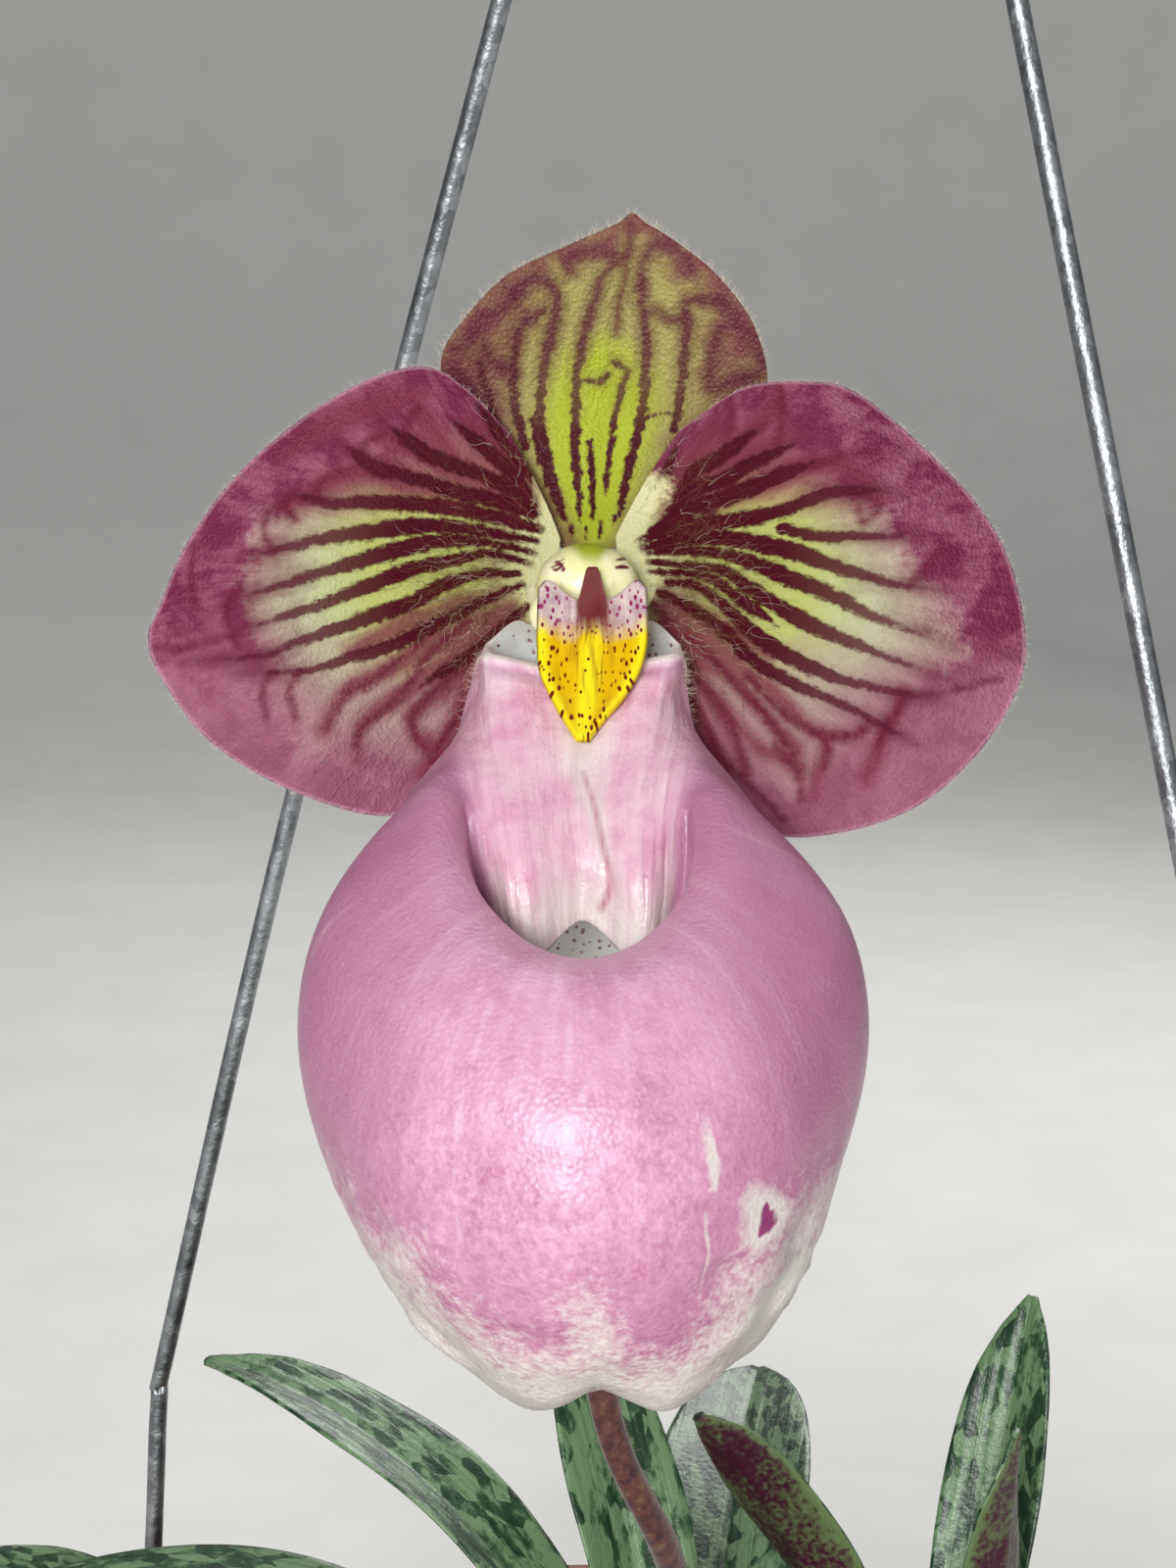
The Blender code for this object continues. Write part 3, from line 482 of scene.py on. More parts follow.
# Galvanised steel: dull zinc, grey with paler crystals about 2 mm across, and small drips and
# pimples that the dipping leaves.
galvanised, tree, shader = substance("galvanised_steel", {"Metallic": 1.0, "Roughness": 0.42})
place = add(tree, "TexCoord", out=3)
crystals = add(tree, "TexVoronoi", {0: place, "Scale": 1000 / 2.0}, out=1)
grain = add(tree, "SeparateColor", {0: crystals})
stain = add(tree, "TexNoise", {0: place, "Scale": 1000 / 9.0, "Detail": 7.0, "Roughness": 0.7})
mixed = add(tree, "Math", {0: grain, 1: 0.35, 2: stain})
colour = add(tree, "ValToRGB", {0: mixed}, stops=[(0.30, ZINC_DULL), (0.62, ZINC), (0.95, ZINC_BRIGHT)])
pimples = add(tree, "TexNoise", {0: place, "Scale": 1000 / 1.1, "Detail": 4.0, "Roughness": 0.6})
bump = add(tree, "Bump", {"Height": pimples, "Strength": 0.45, "Distance": 0.0005})
rough = add(tree, "MapRange", {0: stain, "From Min": 0.3, "From Max": 0.7, "To Min": 0.34,
                               "To Max": 0.58})
wire(shader, {"Base Color": colour, "Roughness": rough, "Normal": bump})
for name, path, node in (("left_hanger_wire", left_path, "hanger_wire_left"),
                         ("right_hanger_wire", right_path, "hanger_wire_right")):
    line = smooth_line(path, 5)
    thickness = WIRE_RADIUS * (1 + 0.03 * ripple(line, 7.0, 5))
    fit(rod(name, line, thickness, 20, pot_frame), galvanised, "galvanised_wire", node)


# Crowns: three short stems, each a stub wrapped in the papery remains of old leaf bases. They stand
# in the bark, and the leaves leave them alternately on two sides.
CROWN_SUNK = 9.0
SHEATH_TAN = "#9a6d3c"
SHEATH_BROWN = "#5a3820"
LEAF_DARK = "#1d3722"
LEAF_MID = "#2f4f33"
LEAF_PALE = "#6d8a64"
LEAF_BASE = "#6d8a4a"


def store(piece, name, values):
    """Keeps a number or a vector for each point of a mesh, for its material to read."""
    values = np.asarray(values, dtype=np.float32)
    kind, field = ("FLOAT_VECTOR", "vector") if values.ndim > 1 else ("FLOAT", "value")
    piece.data.attributes.new(name, kind, "POINT").data.foreach_set(field, values.ravel())


# Papery leaf sheath: dry and matt, streaked tan and brown by its fibres, green at its top.
sheath, tree, shader = substance("papery_leaf_sheath", {"Roughness": 0.6, "IOR": 1.4})
place = add(tree, "TexCoord", out=3)
tall = add(tree, "SeparateXYZ", {0: place}, out=2)
fibre = add(tree, "Mapping", {0: place, 3: (1000 / 0.9, 1000 / 0.9, 1000 / 14.0)})
streaks = add(tree, "TexNoise", {0: fibre, "Scale": 1.0, "Detail": 5.0, "Roughness": 0.65})
brown = add(tree, "ValToRGB", {0: streaks}, stops=[(0.35, SHEATH_BROWN), (0.65, SHEATH_TAN)])
height = add(tree, "MapRange", {0: tall, "From Min": 0.103, "From Max": 0.113})
colour = add(tree, "Mix", {0: height, 6: brown, 7: LEAF_BASE})
bump = add(tree, "Bump", {"Height": streaks, "Strength": 0.5, "Distance": 0.0005})
wire(shader, {"Base Color": colour, "Normal": bump})
for name, crown, tall_mm in (("main_crown", MAIN_CROWN, 22.0), ("side_crown", SIDE_CROWN, 16.0),
                             ("young_crown", YOUNG_CROWN, 9.0)):
    profile = [(0.0, tall_mm), (1.6, tall_mm - 0.1), (2.7, tall_mm - 0.5), (3.6, tall_mm - 1.1),
               (4.3, tall_mm - 2.0), (4.8, tall_mm - 3.2), (CROWN_RADIUS, tall_mm - 4.6),
               (CROWN_RADIUS, tall_mm * 0.5), (CROWN_RADIUS, 0.0), (CROWN_RADIUS, -CROWN_SUNK),
               (0.0, -CROWN_SUNK)]
    stub = turned(name, profile, 48, lambda angles, height: 1 - 0.03 * (1 + np.cos(2 * angles + height / 4)))
    stub.data.transform(Matrix.Translation(Vector((*crown, MIX_LEVEL)) * MM))
    fit(stub, sheath, "leaf", name.split("_")[1] + "_" + name.split("_")[0])


# Leaves: keeled straps with a groove down the middle, thick and leathery. Dark and grey green in
# small chequers above and purple below, they rise from the crown and arch over.
LEAF_FOLD = math.radians(30)
LEAF_THICKNESS = 1.1
LEAF_SKIN = 1.0
LEAF_STATIONS = 11
LEAF_STEPS = 6
LEAF_ACROSS = 31
UNDER_PURPLE = "#43162c"
UNDER_GREEN = "#63764c"
# Each leaf's crown and seat height, then its turn, length, width, rise, droop, swing and roll.
LEAF_TABLE = [
    ("leaf_main_1", MAIN_CROWN, 3.5, 84, 88, 21, 50, 54, -4, 0),
    ("leaf_main_2", MAIN_CROWN, 3.5, 180, 108, 20, 68, 112, 6, 0),
    ("leaf_main_3", MAIN_CROWN, 5.0, -8, 114, 21, 66, 104, -8, 0),
    ("leaf_main_4", MAIN_CROWN, 10.0, 154, 84, 16, 74, 74, 2, 0),
    ("leaf_main_5", MAIN_CROWN, 16.0, 124, 60, 16, 82, 34, 0, 0),
    ("leaf_side_1", SIDE_CROWN, 3.0, 262, 92, 20, 48, 74, -12, 0),
    ("leaf_side_2", SIDE_CROWN, 3.0, 138, 84, 19, 50, 66, 14, 0),
    ("leaf_side_3", SIDE_CROWN, 9.0, 214, 80, 18, 62, 80, -10, 0),
    ("leaf_side_4", SIDE_CROWN, 6.0, 318, 88, 19, 44, 66, -16, 0),
    ("leaf_young_1", YOUNG_CROWN, 2.0, 300, 58, 13, 84, -4, 40, 0),
    ("leaf_young_2", YOUNG_CROWN, 2.0, 62, 66, 14, 80, 8, -10, 0),
    ("leaf_young_3", YOUNG_CROWN, 2.0, 198, 66, 14, 82, 36, 0, 50),
]
LEAF_SHAPE = [(0, 0.30, 0), (0.12, 0.42, 0), (0.35, 0.86, 0), (0.60, 1.0, 0), (0.80, 0.84, 0),
              (0.92, 0.52, 0), (1.0, 0.10, 0)]


def leaf_width(share):
    """Half width as a share of the leaf's full half width, from base to tip."""
    shape = smooth_line(LEAF_SHAPE, 8)
    return np.interp(share, shape[:, 0], shape[:, 1])


def thicken(piece, thickness, thin_edge, weights):
    """Gives a sheet its thickness, thinner towards the rim, and a second material at the back."""
    group = piece.vertex_groups.new(name="thickness")
    for index, weight in enumerate(weights):
        group.add([index], float(weight), "REPLACE")
    solid = piece.modifiers.new("thickness", "SOLIDIFY")
    solid.thickness = thickness * MM
    solid.offset = 0.0
    solid.vertex_group = "thickness"
    solid.thickness_vertex_group = thin_edge
    solid.material_offset = 1


def leaf_rows(crown, base_height, turn, length, width, rise, droop, swing, roll):
    """Rows across a leaf, from its seat on the crown to its tip, as the CAD source draws them."""
    base_half = width / 2 * leaf_width(0.0)
    edge_lift = (base_half * math.sin(LEAF_FOLD) + LEAF_THICKNESS / 2) * math.sin(math.radians(rise))
    clear = CROWN_RADIUS + GAP
    reach = math.sqrt(clear ** 2 - (base_half * math.cos(LEAF_FOLD)) ** 2) + edge_lift
    reach = max(reach, clear + LEAF_THICKNESS / 2)
    heading = math.radians(turn)
    place = np.array((crown[0] + reach * math.cos(heading), crown[1] + reach * math.sin(heading),
                      MIX_LEVEL + base_height))

    def aim(share):
        """The leaf's heading and direction at a share of its length."""
        heading = math.radians(turn + swing * share * share)
        pitch = math.radians(rise - droop * share)
        return heading, (math.cos(heading) * math.cos(pitch), math.sin(heading) * math.cos(pitch),
                         math.sin(pitch))

    spots = []
    for share in np.linspace(0, 1, LEAF_STATIONS):
        spots.append(place)
        place = place + np.array(aim(share)[1]) * length / (LEAF_STATIONS - 1)
    spots = smooth_line(spots, LEAF_STEPS)
    rows = []
    sides = np.linspace(1, -1, LEAF_ACROSS)
    for share, spot in zip(np.linspace(0, 1, len(spots)), spots):
        heading, ahead = aim(share)
        ahead = Vector(ahead)
        across = Vector((-math.sin(heading), math.cos(heading), 0))
        across = Matrix.Rotation(math.radians(roll * share), 3, ahead) @ across
        up = ahead.cross(across).normalized()
        up = up if up.z > -0.2 else -up
        half = width / 2 * float(leaf_width(share))
        fold = LEAF_FOLD * (1 - 0.67 * share)
        lift = half * np.abs(sides) ** 1.3 * math.sin(fold)
        lift -= 0.25 * np.exp(-(sides * half / 0.7) ** 2)
        lift += 0.05 * np.cos(sides * half * math.tau / 1.6)
        lift += 0.35 * np.abs(sides) ** 3 * math.sin(share * 19 + turn) * share
        rows.append(spot + np.outer(sides * half * math.cos(fold), across) + np.outer(lift, up))
    return np.array(rows)


# Leaf tissue: leathery under a thin wax that shines softly, with chequers about 1.5 by 3 mm. The
# underside is duller, purple with fine green dots, and greener at its rim.
leaf_top, tree, shader = substance("mottled_leaf_top", {"Roughness": 0.36, "IOR": 1.45, "Coat Weight": 0.15,
                                                        "Coat Roughness": 0.25})
blade = add(tree, "Attribute", out=1, attribute_name="blade")
number = add(tree, "Attribute", out=2, attribute_name="base_share")
stretch = add(tree, "Mapping", {0: blade, 3: (1 / 1.5, 1 / 3.0, 1.0)})
chequer = add(tree, "TexVoronoi", {0: stretch, "Scale": 1.0, "Randomness": 0.85}, out=1)
cell = add(tree, "SeparateColor", {0: chequer})
cloud = add(tree, "TexNoise", {0: stretch, "Scale": 0.8, "Detail": 6.0, "Roughness": 0.62})
mixed = add(tree, "Math", {0: cell, 1: 0.34, 2: cloud})
mottle = add(tree, "ValToRGB", {0: mixed}, stops=[(0.50, LEAF_DARK), (0.62, LEAF_MID), (0.74, LEAF_PALE)])
lengthwise = add(tree, "Mapping", {0: blade, 3: (1 / 0.45, 1 / 30.0, 1.0)})
veins = add(tree, "TexNoise", {0: lengthwise, "Scale": 1.0, "Detail": 2.0})
vein_dark = add(tree, "MapRange", {0: veins, "From Min": 0.35, "From Max": 0.5, "To Min": 0.72})
streaked = add(tree, "Mix", {0: 1.0, 6: mottle, 7: vein_dark}, blend_type="MULTIPLY")
near_base = add(tree, "MapRange", {0: number, "From Min": 0.02, "From Max": 0.16, "To Min": 1.0,
                                   "To Max": 0.0})
colour = add(tree, "Mix", {0: near_base, 6: streaked, 7: LEAF_BASE})
pebble = add(tree, "TexNoise", {0: blade, "Scale": 1 / 0.7, "Detail": 3.0})
relief = add(tree, "Math", {0: veins, 1: 0.8, 2: pebble})
bump = add(tree, "Bump", {"Height": relief, "Strength": 0.35, "Distance": 0.0004})
wire(shader, {"Base Color": colour, "Normal": bump})

leaf_under, tree, shader = substance("purple_leaf_underside", {"Roughness": 0.45, "IOR": 1.45})
blade = add(tree, "Attribute", out=1, attribute_name="blade")
edge = add(tree, "Attribute", out=2, attribute_name="margin")
dots = add(tree, "TexNoise", {0: blade, "Scale": 1 / 0.8, "Detail": 4.0, "Roughness": 0.7})
patches = add(tree, "TexNoise", {0: blade, "Scale": 1 / 9.0, "Detail": 3.0})
mixed = add(tree, "Math", {0: patches, 1: 0.6, 2: dots})
mixed = add(tree, "Math", {0: edge, 1: mixed}, operation="ADD")
colour = add(tree, "ValToRGB", {0: mixed}, stops=[(0.74, UNDER_PURPLE), (0.98, UNDER_GREEN)])
bump = add(tree, "Bump", {"Height": dots, "Strength": 0.2, "Distance": 0.0003})
wire(shader, {"Base Color": colour, "Normal": bump})

for order, (name, *shape) in enumerate(LEAF_TABLE):
    rows = leaf_rows(*shape)
    length, width = shape[3], shape[4]
    piece = skin(name.replace("leaf_", "") + "_leaf", rows * MM)
    stations = len(rows)
    share = np.repeat(np.linspace(0, 1, stations), LEAF_ACROSS)
    sides = np.tile(np.linspace(1, -1, LEAF_ACROSS), stations)
    blade_spots = np.stack([sides * width / 2 * leaf_width(share), share * length,
                            np.full(len(share), 37.0 * order)], axis=-1)
    store(piece, "blade", blade_spots)
    store(piece, "base_share", share)
    store(piece, "margin", 0.5 * np.abs(sides) ** 10)
    thicken(piece, LEAF_SKIN, 0.35, 1 - np.abs(sides) ** 6)
    fit(piece, [leaf_top, leaf_under], "leaf", name)


# Flower stem: a round scape, purple-brown and downy, that rises from the main crown. A folded bract
# wraps the foot of the ribbed ovary, which curves over to the back of the bloom.
SCAPE_RADIUS = 1.5
STEM_PURPLE = "#341219"
STEM_BROWN = "#5d3429"
STEM_GREEN = "#66703a"
BRACT_GREEN = "#7b8a4e"
BRACT_PURPLE = "#5a2436"
HAIR_RADIUS = 0.022
SCAPE_HAIRS = 900
OVARY_HAIRS = 420
HAIR_PALE = "#d8c9b4"
HAIR_BROWN = "#7a5a36"
HAIR_STEM = "#8a7468"


def blend(low, high, value):
    """0 below low and 1 above high, with a smooth step between."""
    share = np.clip((np.asarray(value, dtype=float) - low) / (high - low), 0.0, 1.0)
    return share * share * (3 - 2 * share)


def flower_to_pot(point):
    """A point of the flower's frame, in millimetres in the world frame."""
    return (flower @ Vector(point)) / MM


# Stem skin: dark and dull, freckled green and brown at about 1.3 mm.
stem, tree, shader = substance("downy_flower_stem", {"Roughness": 0.55, "IOR": 1.4, "Sheen Weight": 0.3})
place = add(tree, "TexCoord", out=3)
freckle = add(tree, "TexNoise", {0: place, "Scale": 1000 / 1.3, "Detail": 5.0, "Roughness": 0.7})
colour = add(tree, "ValToRGB", {0: freckle}, stops=[(0.38, STEM_PURPLE), (0.58, STEM_BROWN),
                                                    (0.75, STEM_GREEN)])
bump = add(tree, "Bump", {"Height": freckle, "Strength": 0.4, "Distance": 0.0004})
wire(shader, {"Base Color": colour, "Normal": bump})

foot = Vector((*MAIN_CROWN, MIX_LEVEL + 22.0 + GAP + 0.1))
scape_line = smooth_line([foot, foot + Vector((0.3, -1.5, 12)), flower_to_pot((8.5, 34.0, -100.0)),
                          flower_to_pot((1.2, 23.5, -79.0)), flower_to_pot((1.6, 21.0, -41.0))], 30)
scape_radius = SCAPE_RADIUS * (1 + 0.04 * ripple(scape_line, 9.0, 21))
fit(rod("scape", scape_line, scape_radius, 24, pot_frame), stem, "scape", "scape")
pedicel = [(1.6, 21.0, -40.5), (1.5, 21.3, -30), (1.1, 20.6, -18), (0.6, 16.5, -6.5), (0.2, 10.5, -0.3),
           (0, 6.5, 0.4), (0, 4.1, 0.4)]
ovary_line = smooth_line(pedicel, 14)
share = np.linspace(0, 1, len(ovary_line))
swell = 0.62 + 0.38 * np.sin(math.pi * share) ** 0.8 + 0.18 * blend(0.8, 1.0, share)
ribs = 1 + 0.05 * np.cos(6 * np.linspace(0, math.tau, 36, endpoint=False))
fit(rod("ribbed_ovary", ovary_line, 2.5 * np.outer(swell, ribs), 36, flower), stem, "scape", "ovary")


def hairs(name, roots, ways, lengths, curl, seed):
    """One mesh of fine hairs, each a three-sided rod that tapers from its root; curl bends them."""
    draw = np.random.default_rng(seed)
    count = len(roots)
    steps = 7 if curl else 3
    share = np.linspace(0, 1, steps + 1)
    ways = ways / np.linalg.norm(ways, axis=1)[:, None]
    aside = np.cross(ways, draw.normal(size=(count, 3)))
    aside /= np.linalg.norm(aside, axis=1)[:, None]
    upward = np.cross(ways, aside)
    phase = draw.uniform(0, math.tau, (count, 1))
    turns = draw.uniform(3.0, 7.0, (count, 1)) * share
    reach = np.asarray(lengths)[:, None]
    sway = curl * reach * (np.sin(phase + turns) - np.sin(phase))
    roll = curl * reach * (np.cos(phase + turns) - np.cos(phase))
    path = roots[:, None] + ways[:, None] * (reach * share)[..., None]
    path += aside[:, None] * sway[..., None] + upward[:, None] * roll[..., None]
    corners = np.arange(3) * math.tau / 3
    ring = (aside[:, None] * np.cos(corners)[:, None] + upward[:, None] * np.sin(corners)[:, None])[:, None]
    radius = HAIR_RADIUS * (1 - 0.8 * share)
    points = path[:, :, None] + ring * radius[:, None, None]
    index = np.arange(count * (steps + 1) * 3).reshape(count, steps + 1, 3)
    following = np.roll(index, -1, axis=2)
    quads = np.stack([index[:, :-1], following[:, :-1], following[:, 1:], index[:, 1:]], axis=-1)
    return smooth_mesh(name, points, quads)


def round_line(line, radius, count, seed):
    """Random roots on a rod's skin and the directions straight out of it."""
    draw = np.random.default_rng(seed)
    line = np.array([tuple(point) for point in line])
    place = draw.integers(1, len(line) - 1, count)
    out = np.cross(line[place + 1] - line[place - 1], draw.normal(size=(count, 3)))
    out /= np.linalg.norm(out, axis=1)[:, None]
    return line[place] + np.broadcast_to(radius, len(line))[place][:, None] * out, out


def grow(name, surface, slot, node, placed, *shape):
    """Grows the hairs that hairs() draws on the piece of a node."""
    made = hairs(name, *shape)
    made.data.transform(placed)
    fit(made, surface, slot, node)


# Plant hairs: fine clear cells that catch the light, pale, brown or grey.
pale_hair, brown_hair, dark_hair = [
    substance(name, {"Base Color": linear(tone), "Roughness": 0.4})[0]
    for name, tone in (("fine_pale_hair", HAIR_PALE), ("fine_brown_hair", HAIR_BROWN),
                       ("stem_down", HAIR_STEM))]
draw = np.random.default_rng(61)
for node, placed, line, radius, count, seed in (
        ("scape", pot_frame, scape_line, SCAPE_RADIUS, SCAPE_HAIRS, 62),
        ("ovary", flower, ovary_line, 2.45 * swell, OVARY_HAIRS, 64)):
    grow(node + "_down", dark_hair, "scape", node, placed, *round_line(line, radius, count, seed),
         draw.uniform(0.4, 0.9, count), 0.0, seed + 1)

# Bract tissue: a thin dull leaf, green with purple streaks along its veins.
bract_green, tree, shader = substance("green_bract", {"Roughness": 0.5, "IOR": 1.4})
place = add(tree, "TexCoord", out=3)
long_way = add(tree, "Mapping", {0: place, 3: (1000 / 0.8, 1000 / 0.8, 1000 / 12.0)})
streaks = add(tree, "TexNoise", {0: long_way, "Scale": 1.0, "Detail": 4.0})
colour = add(tree, "ValToRGB", {0: streaks}, stops=[(0.36, BRACT_PURPLE), (0.52, BRACT_GREEN)])
bump = add(tree, "Bump", {"Height": streaks, "Strength": 0.4, "Distance": 0.0004})
wire(shader, {"Base Color": colour, "Normal": bump})
rows = []
for share in np.linspace(0, 1, 41):
    half_angle = 115 * (1 - share) ** 0.6 + 6
    centre = Vector((1.6, 21.2, -43.0)).lerp(Vector((1.5, 22.8, -25.0)), share)
    radius = 2.35 + 2.0 * share ** 1.2
    angles = np.radians(90 + half_angle * np.linspace(-1, 1, 33))
    rows.append(np.array(centre) + radius * np.stack([np.cos(angles), np.sin(angles), 0 * angles], axis=-1))
bract = skin("folded_bract", rows)
bract.data.transform(flower)
thicken(bract, 0.7, 0.4, np.tile(1 - np.abs(np.linspace(-1, 1, 33)) ** 8, 41))
fit(bract, [bract_green, bract_green], "bract", "bract")


# Synsepal: the two lower sepals grown into one, a thin pale blade that hangs behind the pouch. It
# grows from the base of the bloom, satin in front and downy behind.
SEPAL_THICKNESS = 0.9
SIDE_BULGE = 0.1
SEPAL_GREEN = "#a3ae2c"
SEPAL_PALE = "#989150"
SEPAL_OUTER = "#6d3b3c"
SEPAL_OUTER_PALE = "#7d6144"
SEPAL_NET = "#551a2c"
STRIPE_MAROON = "#450c18"
SEPAL_BACK = "#8f8d66"
SEPAL_BACK_PINK = "#84535a"
SYNSEPAL = [(8.4, -8.0), (11.0, -14.5), (9.6, -21.0), (5.0, -26.4), (0.0, -28.6), (-5.0, -26.4),
            (-9.6, -21.0), (-11.0, -14.5), (-8.4, -8.0)]


def along(line, share):
    """Points at shares of a line's length."""
    line = np.asarray(line, dtype=float)
    length = np.concatenate([[0.0], np.cumsum(np.linalg.norm(np.diff(line, axis=0), axis=1))])
    wanted = np.asarray(share) * length[-1]
    return np.stack([np.interp(wanted, length, line[:, axis]) for axis in range(line.shape[1])], axis=-1)


def fan_rows(base, outline, depth, rays, rings, spread):
    """Rows that run out from the base line to the outline, along the veins, in flower millimetres."""
    edge = smooth_line(outline, 24)
    share = np.linspace(0, 1, rays + 1)[:, None]
    start = np.array(base[0]) * (1 - share) + np.array(base[1]) * share
    end = along(edge, share[:, 0])
    toward = along(edge, 0.5) - start
    toward *= np.linalg.norm(end - start, axis=1)[:, None] * 0.5 / np.linalg.norm(toward, axis=1)[:, None]
    sway = spread - (spread + SIDE_BULGE) * np.abs(2 * share - 1) ** 3
    bend = (start + end) / 2 * (1 - sway) + (start + toward) * sway
    out = np.linspace(0, 1, rings + 1)[:, None, None]
    flat = start * (1 - out) ** 2 + bend * 2 * out * (1 - out) + end * out ** 2
    x, z = flat[..., 0], flat[..., 1]
    return np.stack([x, depth(x, z, np.broadcast_to(out[..., 0], x.shape)), z], axis=-1)


def seen_from_front(points):
    """Where a point of the bloom shows in the flower's own plane, seen from 300 mm in front."""
    away = CAMERA_AWAY / (CAMERA_AWAY + points[..., 1])
    return np.stack([points[..., 0] * away, (points[..., 2] + CAMERA_DROP) * away - CAMERA_DROP], axis=-1)


def from_line(points, line):
    """Distance of flat points from a line, and how far along the line each is, in segments."""
    best = np.full(len(points), 1e9)
    place = np.zeros(len(points))
    for index, (first, second) in enumerate(zip(line, line[1:])):
        way = second - first
        share = np.clip((points - first) @ way / max(way @ way, 1e-9), 0, 1)
        away = np.linalg.norm(points - first - share[:, None] * way, axis=1)
        nearer = away < best
        best[nearer] = away[nearer]
        place[nearer] = (index + share)[nearer]
    return best, place


def marked(points, strokes):
    """How deep each flat point lies inside the nearest stroke, in millimetres, down to -3 outside it."""
    deepest = np.full(len(points), -3.0)
    for stroke in strokes:
        line = smooth_line(stroke, 4)
        away, place = from_line(points, line[:, :2])
        half = np.interp(place, np.arange(len(line)), line[:, 2])
        deepest = np.maximum(deepest, half - away)
    return deepest


def inside(points, outline):
    """Distance inside a closed outline in millimetres, negative outside it."""
    line = np.vstack([smooth_line(outline, 5), outline[0]])
    away, _ = from_line(points, line)
    crossed = np.zeros(len(points), dtype=bool)
    for (x0, z0), (x1, z1) in zip(line, line[1:]):
        level = (z0 > points[:, 1]) != (z1 > points[:, 1])
        if z0 != z1:
            crossed ^= level & (points[:, 0] < x0 + (points[:, 1] - z0) * (x1 - x0) / (z1 - z0))
    return np.where(crossed, away, -away)


def vein_length(rows):
    """How far along its vein each point of a fan lies, in millimetres."""
    step = np.linalg.norm(np.diff(rows, axis=0), axis=2)
    return np.vstack([np.zeros(rows.shape[1]), np.cumsum(step, axis=0)])


def store_petal(piece, rows, strokes, lines, field, smudges, pale):
    """Stores what a petal's material reads: its marks, its field, its veins and its rim."""
    flat = seen_from_front(rows).reshape(-1, 2)
    run = vein_length(rows)
    veins = np.broadcast_to(np.linspace(0, 60, rows.shape[1]), run.shape)
    store(piece, "stripe", marked(flat, strokes))
    store(piece, "line", marked(flat, lines))
    store(piece, "smudge", marked(flat, smudges))
    store(piece, "field", inside(flat, field))
    store(piece, "pale", inside(flat, pale))
    store(piece, "rim", (run[-1] - run).ravel())
    store(piece, "seen", np.pad(flat, ((0, 0), (0, 1))))
    store(piece, "vein", np.stack([veins, run, 0 * run], axis=-1).reshape(-1, 3))


def rim_weights(rows, fade):
    """Thickness weights of a fan: full inside, thin within fade millimetres of the rim."""
    run = vein_length(rows)
    return np.clip((run[-1] - run) / fade, 0, 1).ravel()


def synsepal_depth(x, z, _out):
    """Further back as it goes down, its sides a little forward."""
    return 4.6 + 3.4 * blend(-3.0, -26.0, z) - 1.5 * (np.abs(x) / 11.0) ** 2 * blend(-6.0, -14.0, z)


# Sepal tissue: satin, yellow-green with maroon stripes, brown-pink with a purple net outside them.
# The stripes are beaded where the colour cells end, about 0.9 mm apart. The skin's own cells are
# drawn 0.35 mm across so that they show.
sepal, tree, shader = substance("striped_sepal_tissue", {"IOR": 1.4, "Specular IOR Level": 0.4})
seen, vein = [add(tree, "Attribute", out=1, attribute_name=name) for name in ("seen", "vein")]
stripe, line, field, pale = [add(tree, "Attribute", out=2, attribute_name=name)
                             for name in ("stripe", "line", "field", "pale")]
cells = add(tree, "TexNoise", {0: seen, "Scale": 1 / 0.9, "Detail": 6.0, "Roughness": 0.7})
blotch = add(tree, "TexNoise", {0: seen, "Scale": 1 / 3.2, "Detail": 5.0, "Roughness": 0.6,
                                "Distortion": 0.6})
long_way = add(tree, "Mapping", {0: vein, 3: (1 / 0.5, 1 / 7.0, 1.0)})
streak = add(tree, "TexNoise", {0: long_way, "Scale": 1.0, "Detail": 3.0})
middle = add(tree, "Math", {0: streak, 1: 3.0, 2: pale})
middle = add(tree, "MapRange", {0: middle, "From Min": 0.2, "From Max": 3.4})
inner = add(tree, "Mix", {0: middle, 6: SEPAL_PALE, 7: SEPAL_GREEN})
outer = add(tree, "ValToRGB", {0: blotch}, stops=[(0.40, SEPAL_OUTER), (0.60, SEPAL_OUTER_PALE)])
wander = add(tree, "Math", {0: blotch, 1: 3.4, 2: field})
within = add(tree, "MapRange", {0: wander, "From Min": 0.4, "From Max": 3.2})
ground = add(tree, "Mix", {0: within, 6: outer, 7: inner})
ragged_line = add(tree, "Math", {0: cells, 1: 1.2, 2: line})
lined = add(tree, "MapRange", {0: ragged_line, "From Min": -0.4, "From Max": 0.8, "To Max": 0.85})
netted = add(tree, "Mix", {0: lined, 6: ground, 7: SEPAL_NET})
up = add(tree, "SeparateXYZ", {0: seen}, out=1)
soft_end = add(tree, "MapRange", {0: up, "From Min": 12.0, "From Max": 20.0, "To Max": 0.85})
halo = add(tree, "Math", {0: cells, 1: 1.4, 2: stripe})
haloed = add(tree, "MapRange", {0: halo, "From Min": -0.3, "From Max": 1.0})
haloed = add(tree, "Math", {0: haloed, 1: soft_end})
netted = add(tree, "Mix", {0: haloed, 6: netted, 7: SEPAL_NET})
ragged = add(tree, "Math", {0: cells, 1: 1.6, 2: stripe})
striped = add(tree, "MapRange", {0: ragged, "From Min": 0.66, "From Max": 0.90})
ends = add(tree, "MapRange", {0: up, "From Min": 12.0, "From Max": 26.0})
stripe_colour = add(tree, "Mix", {0: ends, 6: STRIPE_MAROON, 7: SEPAL_NET})
faint = add(tree, "Math", {0: ends, 1: -0.65, 2: 1.0})
striped = add(tree, "Math", {0: striped, 1: faint})
colour = add(tree, "Mix", {0: striped, 6: netted, 7: stripe_colour})
pebble = add(tree, "TexVoronoi", {0: seen, "Scale": 1 / 0.35})
height = add(tree, "Math", {0: streak, 1: 0.8, 2: pebble})
